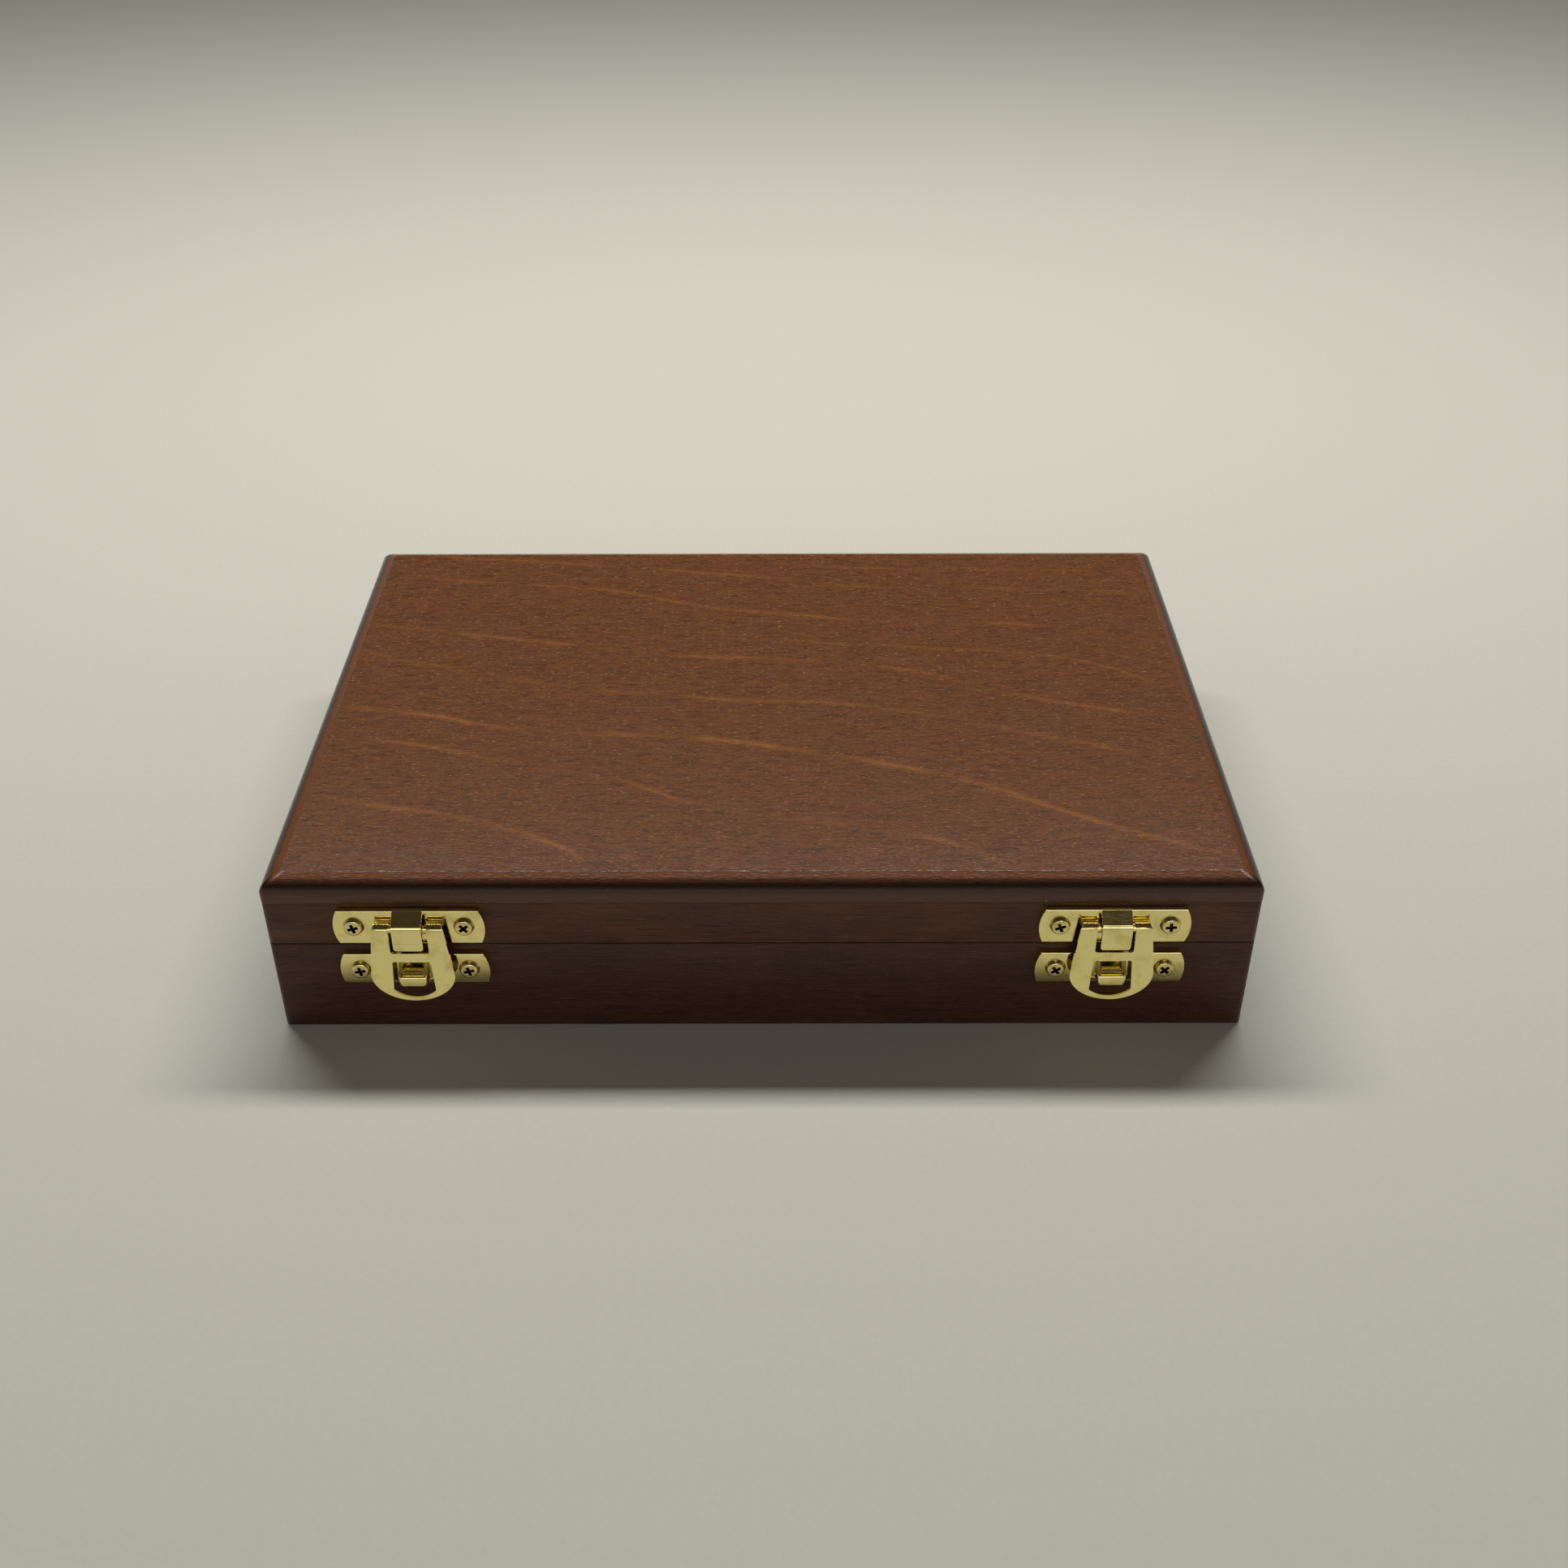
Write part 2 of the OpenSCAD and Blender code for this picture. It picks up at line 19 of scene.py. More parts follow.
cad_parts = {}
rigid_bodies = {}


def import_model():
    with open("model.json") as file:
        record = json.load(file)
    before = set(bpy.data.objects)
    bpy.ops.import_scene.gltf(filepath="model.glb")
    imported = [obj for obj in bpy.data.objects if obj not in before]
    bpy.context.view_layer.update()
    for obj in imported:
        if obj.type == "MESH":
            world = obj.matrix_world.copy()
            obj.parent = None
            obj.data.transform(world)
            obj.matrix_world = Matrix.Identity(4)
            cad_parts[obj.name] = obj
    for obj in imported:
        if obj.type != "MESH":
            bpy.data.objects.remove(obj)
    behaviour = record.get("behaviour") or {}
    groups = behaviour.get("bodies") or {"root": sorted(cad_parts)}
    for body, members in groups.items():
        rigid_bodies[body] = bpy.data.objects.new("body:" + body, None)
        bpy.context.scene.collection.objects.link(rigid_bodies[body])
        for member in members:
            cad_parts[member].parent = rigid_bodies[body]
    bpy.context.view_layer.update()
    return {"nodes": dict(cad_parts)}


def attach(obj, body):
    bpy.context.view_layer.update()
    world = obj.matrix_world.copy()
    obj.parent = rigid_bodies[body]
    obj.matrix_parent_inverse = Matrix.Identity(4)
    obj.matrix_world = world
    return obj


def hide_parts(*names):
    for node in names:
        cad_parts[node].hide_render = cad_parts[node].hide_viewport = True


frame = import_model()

Piece = bpy.types.Object
Material = bpy.types.Material
Node = bpy.types.Node
Triple = tuple[float, float, float]
Test = Callable[[Vector, Vector], bool]

LOG = logging.getLogger("case")

MM = 0.001
CASE_W = 230 * MM
CASE_D = 162 * MM
PARTING_Z = 25.5 * MM
FRAME_TOP_Z = 37.5 * MM
CASE_TOP_Z = 43.5 * MM
WALL = 10 * MM
CORNER_R = 1.5 * MM
FLOOR_T = 4 * MM
REBATE = 5 * MM
TOP_LIP = 0.08 * MM
FRONT_Y = -CASE_D / 2
BACK_Y = CASE_D / 2
INNER_X = CASE_W / 2 - WALL
INNER_Y = CASE_D / 2 - WALL
AXIS_Y = BACK_Y - 3 * MM
HINGE_X = 70 * MM
LATCH_X = 81.2 * MM
QUARTER = math.pi / 2
ORIGIN = (0.0, 0.0, 0.0)
# Two places closer than a speck count as the same, and points closer than a weld are joined
SPECK = 0.01 * MM
WELD = 0.001 * MM
# A face looks along a direction when its normal's part that way is above this
FACING = 0.9
# Facets round a thin bar or hollow, and round a sheet's curved edge
BAR_SIDES = 48
SHEET_SIDES = 192
# Room enough to tell an edge that runs from front to back, or one in an upper corner, from the rest
CLEAR = 3 * MM


class Part(Enum):
    """The bodies that pieces ride on."""

    BASE = "base"
    LID = "lid"
    LEVER_LEFT = "lever_left"
    LEVER_RIGHT = "lever_right"


class Slot(Enum):
    """The record's material slots."""

    FRAME = "walnut_frame"
    TOP = "walnut_top"
    PLY = "birch_ply"
    VELVET = "velvet"
    SATIN = "satin"
    BRASS = "polished_brass"
    HINGE = "hinge_brass"
    SCREWS = "brass_screws"


class Grain(Enum):
    """Which way the fibres of a board run."""

    ALONG_X = 0
    ALONG_Y = 1

    def cells(self, length: float, width: float) -> Triple:
        """The mapping scale of a pattern, from its cells' size in mm along and across the fibres."""
        return cells(length, width, width) if self is Grain.ALONG_X else cells(width, length, width)


# The bench


class Bench:
    """The modelling bench: one piece at a time is selected, shaped and finished."""

    @staticmethod
    def clear() -> None:
        """Leaves edit mode and deselects everything."""
        if bpy.context.mode != "OBJECT":
            bpy.ops.object.mode_set(mode="OBJECT")
        bpy.ops.object.select_all(action="DESELECT")

    @staticmethod
    def take(piece: Piece) -> Piece:
        """Selects one piece alone and makes it the active one."""
        Bench.clear()
        piece.select_set(True)
        bpy.context.view_layer.objects.active = piece
        return piece

    @staticmethod
    def settle(name: str) -> Piece:
        """Names the active piece and puts its place into its mesh."""
        piece = bpy.context.active_object
        piece.name = piece.data.name = name
        bpy.ops.object.transform_apply(location=True, rotation=True, scale=True)
        return piece

    @staticmethod
    def box(name: str, low: Triple, high: Triple) -> Piece:
        """Adds a cube stretched between two corners.

        Args:
            name: The piece's name.
            low: Lowest corner, in metres.
            high: Highest corner, in metres.

        Returns:
            The new piece, its place in its mesh.
        """
        low, high = Vector(low), Vector(high)
        Bench.clear()
        bpy.ops.mesh.primitive_cube_add(size=1, location=(low + high) / 2, scale=high - low)
        return Bench.settle(name)

    @staticmethod
    def rod(name: str, middle: Triple, radius: float, length: float, axis: str, sides: int) -> Piece:
        """Adds a cylinder along an axis.

        Args:
            name: The piece's name.
            middle: Its centre.
            radius: Its radius.
            length: Its length.
            axis: "X", "Y" or "Z".
            sides: Facets round it.

        Returns:
            The new piece, its place in its mesh.
        """
        turn = {"X": (0, QUARTER, 0), "Y": (QUARTER, 0, 0), "Z": ORIGIN}[axis]
        Bench.clear()
        bpy.ops.mesh.primitive_cylinder_add(
            vertices=sides,
            radius=radius,
            depth=length,
            location=middle,
            rotation=turn,
        )
        return Bench.settle(name)

    @staticmethod
    @contextmanager
    def editing(piece: Piece) -> Iterator[Piece]:
        """Opens a piece in edit mode and closes it again."""
        Bench.take(piece)
        bpy.ops.object.mode_set(mode="EDIT")
        yield piece
        bpy.ops.object.mode_set(mode="OBJECT")

    @staticmethod
    def pick(piece: Piece, kind: str, test: Callable[[object], bool]) -> None:
        """Selects the faces or the edges of the open piece that pass a test."""
        bpy.ops.mesh.select_mode(type=kind)
        bpy.ops.mesh.select_all(action="DESELECT")
        mesh = bmesh.from_edit_mesh(piece.data)
        for element in mesh.faces if kind == "FACE" else mesh.edges:
            if test(element):
                element.select_set(True)
        bmesh.update_edit_mesh(piece.data)

    @staticmethod
    def pick_faces(piece: Piece, test: Test) -> None:
        """Selects the faces whose centre and normal pass a test."""
        Bench.pick(piece, "FACE", lambda face: test(face.calc_center_median(), face.normal))

    @staticmethod
    def pick_side(piece: Piece, way: Triple) -> None:
        """Selects the faces that look along a direction."""
        Bench.pick(piece, "FACE", lambda face: face.normal.dot(Vector(way)) > FACING)

    @staticmethod
    def pick_edges(piece: Piece, test: Test) -> None:
        """Selects the edges whose two ends pass a test."""
        Bench.pick(piece, "EDGE", lambda edge: test(edge.verts[0].co, edge.verts[1].co))

    @staticmethod
    def pick_line(piece: Piece, test: Callable[[Vector], bool]) -> None:
        """Selects the edges that have both ends where a test is passed."""
        Bench.pick_edges(piece, lambda a, b: test(a) and test(b))

    @staticmethod
    def saw(point: Triple, away: Triple) -> None:
        """Cuts the open piece along a plane, removes the side that away points to and closes the cut."""
        bpy.ops.mesh.select_all(action="SELECT")
        bpy.ops.mesh.bisect(
            plane_co=point,
            plane_no=Vector(away).normalized(),
            use_fill=True,
            clear_outer=True,
            threshold=WELD,
        )

    @staticmethod
    def scale(by: Triple, centre: Triple = ORIGIN) -> None:
        """Scales what is selected about a point."""
        bpy.ops.transform.resize(value=by, center_override=centre)

    @staticmethod
    def pull(move: Triple) -> None:
        """Extrudes what is selected and moves it."""
        bpy.ops.mesh.extrude_region_move(TRANSFORM_OT_translate={"value": move})

    @staticmethod
    def modify(piece: Piece, kind: str, **settings: object) -> None:
        """Adds a modifier and applies it.

        Args:
            piece: The piece it works on.
            kind: Blender's name for the modifier.
            **settings: Its settings.
        """
        Bench.take(piece)
        modifier = piece.modifiers.new(kind.title(), kind)
        for key, value in settings.items():
            setattr(modifier, key, value)
        bpy.ops.object.modifier_apply(modifier=modifier.name)

    @staticmethod
    def combine(piece: Piece, tool: Piece, how: str) -> None:
        """Cuts a tool out of a piece, or unites or intersects the two, and throws the tool away."""
        Bench.modify(piece, "BOOLEAN", object=tool, operation=how, solver="EXACT")
        bpy.data.objects.remove(tool)

    @staticmethod
    def soften(piece: Piece, width: float, segments: int = 3, angle: float = 40) -> None:
        """Rounds every edge of a piece that is sharper than an angle in degrees."""
        limit = math.radians(angle)
        settings = {"width": width, "segments": segments, "angle_limit": limit}
        Bench.modify(piece, "BEVEL", limit_method="ANGLE", **settings)

    @staticmethod
    def smooth(piece: Piece, angle: float) -> None:
        """Turns a closed piece's faces outwards and shades it smooth, up to an angle in degrees."""
        with Bench.editing(piece):
            bpy.ops.mesh.select_all(action="SELECT")
            bpy.ops.mesh.remove_doubles(threshold=WELD)
            bpy.ops.mesh.normals_make_consistent(inside=False)
        bpy.ops.object.shade_smooth_by_angle(angle=math.radians(angle))

    @staticmethod
    def copy(piece: Piece, name: str, move: Triple = ORIGIN) -> Piece:
        """Copies a piece with a mesh of its own, moved within that mesh."""
        Bench.take(piece)
        bpy.ops.object.duplicate(linked=False)
        bpy.context.active_object.location = move
        return Bench.settle(name)

    @staticmethod
    def join(pieces: list[Piece], name: str) -> Piece:
        """Joins pieces into the first of them."""
        Bench.take(pieces[0])
        for piece in pieces[1:]:
            piece.select_set(True)
        bpy.ops.object.join()
        return Bench.settle(name)


def hand_over(piece: Piece, part: Part, finish: Material, node: str) -> None:
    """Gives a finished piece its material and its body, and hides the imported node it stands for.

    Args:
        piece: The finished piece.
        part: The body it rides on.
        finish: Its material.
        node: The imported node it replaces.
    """
    piece.data.materials.clear()
    piece.data.materials.append(finish)
    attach(piece, part.value)
    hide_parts(node)
    LOG.info("%s rides on %s", piece.name, part.value)


# Finishes

# Sockets of the Mix node in colour mode
MIX_FACTOR, MIX_A, MIX_B = 0, 6, 7
# Face attribute that is 1 in the hollows of a screw's head, where shade is painted
HOLLOW = "hollow"


def linear(hex_colour: str) -> tuple[float, float, float, float]:
    """Turns an sRGB hex colour to linear red, green, blue and a full alpha."""
    parts = [int(hex_colour[i : i + 2], 16) / 255 for i in (1, 3, 5)]
    return (*(p / 12.92 if p <= 0.04045 else ((p + 0.055) / 1.055) ** 2.4 for p in parts), 1.0)


def cells(*sizes: float) -> Triple:
    """The mapping scale of a pattern whose cells have these sizes in mm along the axes."""
    return tuple(1 / (size * MM) for size in sizes)


def plug(tree: bpy.types.NodeTree, value: object, socket: bpy.types.NodeSocket) -> None:
    """Links an input to a socket or to a node's output in use, or sets it to a constant or a colour."""
    if isinstance(value, Node):
        value = next(output for output in value.outputs if output.enabled)
    if isinstance(value, bpy.types.NodeSocket):
        tree.links.new(value, socket)
    else:
        socket.default_value = linear(value) if isinstance(value, str) else value


def add_node(tree: bpy.types.NodeTree, kind: str, inputs: dict | tuple, **settings: object) -> Node:
    """Adds a node with its settings, and sets or links its inputs.

    Args:
        tree: The node tree.
        kind: The node's type, without the ShaderNode that each begins with.
        inputs: What goes into its inputs, in their order, or by their names or numbers; see plug.
        **settings: The node's own settings.

    Returns:
        The new node.
    """
    node = tree.nodes.new(f"ShaderNode{kind}")
    for key, value in settings.items():
        setattr(node, key, value)
    for key, value in inputs.items() if isinstance(inputs, dict) else enumerate(inputs):
        plug(tree, value, node.inputs[key])
    return node


class Recipe:
    """A material in the making: its nodes, and the place on the object that its patterns start from."""

    def __init__(self, name: str) -> None:
        """Starts the material under the finish's name."""
        self.material = bpy.data.materials.new(name)
        self.material.use_nodes = True
        self.place = self.add("TexCoord", ()).outputs["Object"]

    def add(self, kind: str, inputs: dict | tuple, **settings: object) -> Node:
        """Adds a node to the material, as add_node does."""
        return add_node(self.material.node_tree, kind, inputs, **settings)

    def finish(self, **inputs: object) -> Material:
        """Sets or links the shader's inputs, with _ for a space in a name, and gives the material."""
        tree = self.material.node_tree
        for key, value in inputs.items():
            plug(tree, value, tree.nodes["Principled BSDF"].inputs[key.replace("_", " ")])
        return self.material


@dataclass(frozen=True)
class Marks:
    """One layer of marks in the wood: their size in mm, their tint and how strongly they show."""

    length: float
    width: float
    tint: str
    amount: float
    start: float = 0.5
    full: float = 0.7
    detail: float = 2.0


@dataclass(frozen=True)
class StainedWood:
    """Close-grained birch, stained walnut brown and sprayed with satin lacquer.

    Birch has short fine pores that take the stain darker, and long soft fibres. The stain lies in
    clouds, and the thin lacquer leaves the grain open, so that it glints in places.
    """

    name: str
    stain: str
    grain: Grain
    marks: tuple[Marks, ...]
    roughness: float = 0.42
    gloss: float = 0.3
    open_grain: float = 0.04 * MM

    def build(self) -> Material:
        """Makes the material."""
        recipe = Recipe(self.name)
        colour, pores = self.stain, None
        for layer in self.marks:
            size = self.grain.cells(layer.length, layer.width)
            run = recipe.add("Mapping", {"Vector": recipe.place, "Scale": size})
            noise = recipe.add("TexNoise", {"Vector": run, "Scale": 1.0, "Detail": layer.detail})
            shown = recipe.add("MapRange", (noise, layer.start, layer.full, 0.0, layer.amount))
            tints = {MIX_FACTOR: shown, MIX_A: colour, MIX_B: layer.tint}
            colour = recipe.add("Mix", tints, data_type="RGBA")
            pores = noise if layer.width < 1 else pores
        rough = recipe.add("MapRange", (pores, 0.3, 0.7, self.roughness + 0.05, self.roughness - 0.05))
        bump = recipe.add("Bump", {"Height": pores, "Strength": 1.0, "Distance": self.open_grain})
        colour = self.work(recipe, colour)
        return recipe.finish(
            IOR=1.5,
            Specular_IOR_Level=self.gloss,
            Base_Color=colour,
            Roughness=rough,
            Normal=bump,
        )

    def work(self, recipe: Recipe, colour: Node) -> Node:
        """What the joiner's work adds to the colour; plain wood has nothing.

        Args:
            recipe: The material in the making.
            colour: The colour of the wood so far.

        Returns:
            The node with the finished colour.
        """
        return colour


@dataclass(frozen=True)
class RailWood(StainedWood):
    """Stained wood of the base and the lid, with dirt and missing lacquer along the parting line."""

    seam_half: float = 0.45 * MM
    seam_deep: float = 0.8 * MM
    seam_amount: float = 0.9
    seam_tint: str = "#150b07"

    def work(self, recipe: Recipe, colour: Node) -> Node:
        """Darkens both sides of the parting line near the outer faces, in some stretches more."""
        axes = recipe.add("SeparateXYZ", (recipe.place,))
        depths = []
        for axis, half in (("X", CASE_W / 2), ("Y", CASE_D / 2)):
            out = recipe.add("Math", (axes.outputs[axis],), operation="ABSOLUTE")
            depths.append(recipe.add("Math", (half, out), operation="SUBTRACT"))
        depth = recipe.add("Math", tuple(depths), operation="MINIMUM")
        outer = recipe.add("MapRange", (depth, 0.0, self.seam_deep, self.seam_amount, 0.0))
        off = recipe.add("Math", (axes.outputs["Z"], PARTING_Z), operation="SUBTRACT")
        off = recipe.add("Math", (off,), operation="ABSOLUTE")
        # Stretches of dirt are about 9 mm long
        run = recipe.add("Mapping", {"Vector": recipe.place, "Scale": self.grain.cells(9, 1.2)})
        noise = recipe.add("TexNoise", {"Vector": run, "Scale": 1.0, "Detail": 3.0})
        reach = recipe.add("MapRange", (noise, 0.35, 0.65, 0.4 * self.seam_half, self.seam_half))
        near = recipe.add("MapRange", (off, 0.0, reach, 1.0, 0.0))
        near = recipe.add("Math", (near, outer), operation="MULTIPLY")
        tints = {MIX_FACTOR: near, MIX_A: colour, MIX_B: self.seam_tint}
        return recipe.add("Mix", tints, data_type="RGBA")


@dataclass(frozen=True)
class FigureLine:
    """One line of the flat-sawn figure: half width in mm, strength, points across the top in mm."""

    half_width: float
    strength: float
    points: tuple[tuple[float, float], ...]


@dataclass(frozen=True)
class TopVeneer(StainedWood):
    """Sliced veneer on the top panel: warm figure lines, and stained core wood round the edge, with painted
    shade on the edge's lower part.
    """

    lines: tuple[FigureLine, ...] = ()
    line_tint: str = "#935c2a"
    fray: float = 3.6 * MM
    fade_before: float = 0.01
    fade_after: float = 0.03
    stain_and_shade_bands: tuple[tuple[float, str, float], ...] = ()
    band_blur: float = 0.15 * MM
    band_fray: float = 0.7 * MM

    def work(self, recipe: Recipe, colour: Node) -> Node:
        """Draws the figure lines, then the layers that the rounded edge cuts through."""
        axes = recipe.add("SeparateXYZ", (recipe.place,))
        # Fibres are about 3 mm long and 0.3 mm wide here, and each line frays along them
        run = recipe.add("Mapping", {"Vector": recipe.place, "Scale": self.grain.cells(3, 0.3)})
        fibres = recipe.add("TexNoise", {"Vector": run, "Scale": 1.0, "Detail": 2.0})
        fray = self.fray / CASE_D
        shift = recipe.add("Math", (fibres, fray, -fray / 2), operation="MULTIPLY_ADD")
        across = recipe.add("Math", (axes.outputs["X"], 1 / CASE_W, 0.5), operation="MULTIPLY_ADD")
        deep = recipe.add("Math", (axes.outputs["Y"], 1 / CASE_D, 0.5), operation="MULTIPLY_ADD")
        deep = recipe.add("Math", (deep, shift), operation="ADD")
        shown = None
        for line in self.lines:
            near = self.line(recipe, line, across, deep)
            shown = recipe.add("Math", (shown, near), operation="MAXIMUM") if shown else near
        # The stain takes the lines unevenly, in stretches of about 20 mm and from fibre to fibre
        noise = recipe.add("TexNoise", {"Vector": recipe.place, "Scale": 1 / (20 * MM), "Detail": 3.0})
        taken = recipe.add("MapRange", (noise, 0.4, 0.62, 0.12, 1.4))
        shown = recipe.add("Math", (shown, taken), operation="MULTIPLY")
        feather = recipe.add("MapRange", (fibres, 0.4, 0.62, 0.35, 1.15))
        shown = recipe.add("Math", (shown, feather), operation="MULTIPLY")
        tints = {MIX_FACTOR: shown, MIX_A: colour, MIX_B: self.line_tint}
        colour = recipe.add("Mix", tints, data_type="RGBA")
        # The rounded edge cuts through the layers of the panel, and its end grain drinks the stain; the
        # darker bands also hold painted shade where the rounding turns away from the lamp
        fray = self.band_fray
        shift = recipe.add("Math", (fibres, fray, -fray / 2), operation="MULTIPLY_ADD")
        height = recipe.add("Math", (axes.outputs["Z"], shift), operation="ADD")
        for level, tint, amount in self.stain_and_shade_bands:
            low, high = level * MM - self.band_blur, level * MM + self.band_blur
            below = recipe.add("MapRange", (height, low, high, amount, 0.0))
            tints = {MIX_FACTOR: below, MIX_A: colour, MIX_B: tint}
            colour = recipe.add("Mix", tints, data_type="RGBA")
        return colour

    def line(self, recipe: Recipe, line: FigureLine, across: Node, deep: Node) -> Node:
        """Draws one figure line, which fades at both ends.

        Args:
            recipe: The material in the making.
            line: The line.
            across: The place across the case, from 0 to 1.
            deep: The place from front to back, from 0 to 1.

        Returns:
            The node that says how strongly the line shows.
        """
        course = recipe.add("FloatCurve", {"Value": across})
        curve = course.mapping.curves[0]
        points = [(x * MM / CASE_W + 0.5, y * MM / CASE_D + 0.5) for x, y in line.points]
        curve.points[0].location, curve.points[1].location = points[0], points[-1]
        for point in points[1:-1]:
            curve.points.new(*point)
        course.mapping.update()
        off = recipe.add("Math", (deep, course), operation="SUBTRACT")
        off = recipe.add("Math", (off,), operation="ABSOLUTE")
        half = line.half_width * MM / CASE_D
        drop = (off, 0.0, half, line.strength, 0.0)
        near = recipe.add("MapRange", drop, interpolation_type="SMOOTHSTEP")
        before, after = self.fade_before, self.fade_after
        first, last = points[0][0], points[-1][0]
        for fade in (
            (first - before, first + after, 0.0, 1.0),
            (last - after, last + before, 1.0, 0.0),
        ):
            kept = recipe.add("MapRange", (across, *fade))
            near = recipe.add("Math", (near, kept), operation="MULTIPLY")
        return near


@dataclass(frozen=True)
class Brass:
    """Stamped brass with a pale bright plating: a clear metal with fine polishing marks.

    The plating is thin and a little wavy over the stamped sheet, and the hollows of the screws' crosses get
    painted shade in dark brown.
    """

    name: str
    plating: str
    dull: str
    roughness: float
    mark_length: float = 2.5
    mark_width: float = 0.15
    mark_depth: float = 0.004 * MM
    waviness: float = 0.004 * MM
    painted_cross_shade: str = "#4a3010"

    def build(self) -> Material:
        """Makes the material."""
        recipe = Recipe(self.name)
        place = recipe.place
        run = cells(self.mark_length, self.mark_width, self.mark_width)
        marks = recipe.add("Mapping", {"Vector": place, "Scale": run})
        marks = recipe.add("TexNoise", {"Vector": marks, "Scale": 1.0, "Detail": 3.0})
        # The plating dulls in clouds of about 4 mm, and the sheet waves every 6 mm or so
        clouds = recipe.add("TexNoise", {"Vector": place, "Scale": 1 / (4 * MM), "Detail": 3.0})
        waves = recipe.add("TexNoise", {"Vector": place, "Scale": 1 / (6 * MM), "Detail": 0.0})
        dulled = recipe.add("MapRange", (clouds, 0.5, 0.75, 0.0, 0.6))
        tints = {MIX_FACTOR: dulled, MIX_A: self.plating, MIX_B: self.dull}
        colour = recipe.add("Mix", tints, data_type="RGBA")
        # Painted shade: the hollows of the screws' crosses are darkened to dark brown, and made rougher
        painted_cross_shade = recipe.add("Attribute", (), attribute_name=HOLLOW).outputs["Fac"]
        tints = {MIX_FACTOR: painted_cross_shade, MIX_A: colour, MIX_B: self.painted_cross_shade}
        colour = recipe.add("Mix", tints, data_type="RGBA")
        rough = recipe.add("MapRange", (marks, 0.3, 0.7, self.roughness - 0.04, self.roughness + 0.06))
        rough = recipe.add("Math", (painted_cross_shade, 0.3, rough), operation="MULTIPLY_ADD")
        fine = recipe.add("Bump", {"Height": marks, "Strength": 0.25, "Distance": self.mark_depth})
        bent = {"Height": waves, "Strength": 1.0, "Distance": self.waviness, "Normal": fine}
        bump = recipe.add("Bump", bent)
        return recipe.finish(Metallic=1.0, Base_Color=colour, Roughness=rough, Normal=bump)


@dataclass(frozen=True)
class BirchPly:
    """Unfinished birch plywood: pale rotary-cut faces with long fibres and soft growth rings."""

    name: str = "birch_plywood"
    face: str = "#b99c74"
    late: str = "#9b7c55"

    def build(self) -> Material:
        """Makes the material."""
        recipe = Recipe(self.name)
        warp = recipe.add("TexNoise", {"Vector": recipe.place, "Scale": 1 / (45 * MM), "Detail": 2.0})
        colour = self.face
        # Growth rings 60 mm long and 6 mm wide, then fibres 12 mm long and 0.5 mm wide
        for length, width, amount in ((60, 6, 0.8), (12, 0.5, 0.5)):
            run = recipe.add("Mapping", {"Vector": recipe.place, "Scale": cells(length, width, width)})
            run = recipe.add("VectorMath", (run, warp.outputs["Color"]), operation="ADD")
            noise = recipe.add("TexNoise", {"Vector": run, "Scale": 1.0, "Detail": 3.0})
            shown = recipe.add("MapRange", (noise, 0.45, 0.65, 0.0, amount))
            tints = {MIX_FACTOR: shown, MIX_A: colour, MIX_B: self.late}
            colour = recipe.add("Mix", tints, data_type="RGBA")
        bump = recipe.add("Bump", {"Height": noise, "Strength": 1.0, "Distance": 0.03 * MM})
        return recipe.finish(IOR=1.5, Roughness=0.68, Base_Color=colour, Normal=bump)


@dataclass(frozen=True)
class Velvet:
    """Short-pile velvet, which catches light at a slant and lies in strokes where a hand has passed."""

    name: str
    pile: str
    stroked: str
    sheen: str = "#8a97c4"
    slant: float = 0.5

    def build(self) -> Material:
        """Makes the material."""
        recipe = Recipe(self.name)
        place = recipe.place
        # A stroke of the hand is about 60 mm long and 22 mm wide
        lay = {"Vector": place, "Scale": cells(60, 22, 22), "Rotation": (0, 0, self.slant)}
        run = recipe.add("Mapping", lay)
        strokes = recipe.add("TexNoise", {"Vector": run, "Scale": 1.0, "Detail": 2.0, "Distortion": 0.6})
        # Real pile is about 0.1 mm thick; it is drawn at 0.35 mm so that it shows
        pile = recipe.add("TexNoise", {"Vector": place, "Scale": 1 / (0.35 * MM), "Detail": 2.0})
        lie = recipe.add("MapRange", (strokes, 0.35, 0.7, 0.0, 1.0))
        tints = {MIX_FACTOR: lie, MIX_A: self.pile, MIX_B: self.stroked}
        colour = recipe.add("Mix", tints, data_type="RGBA")
        speck = recipe.add("MapRange", (pile, 0.3, 0.7, 0.6, 1.25))
        tints = {MIX_FACTOR: 1.0, MIX_A: colour, MIX_B: speck}
        colour = recipe.add("Mix", tints, data_type="RGBA", blend_type="MULTIPLY")
        bump = recipe.add("Bump", {"Height": pile, "Strength": 1.0, "Distance": 0.12 * MM})
        return recipe.finish(
            IOR=1.45,
            Roughness=0.95,
            Sheen_Weight=0.55,
            Sheen_Roughness=0.35,
            Sheen_Tint=self.sheen,
            Base_Color=colour,
            Normal=bump,
        )


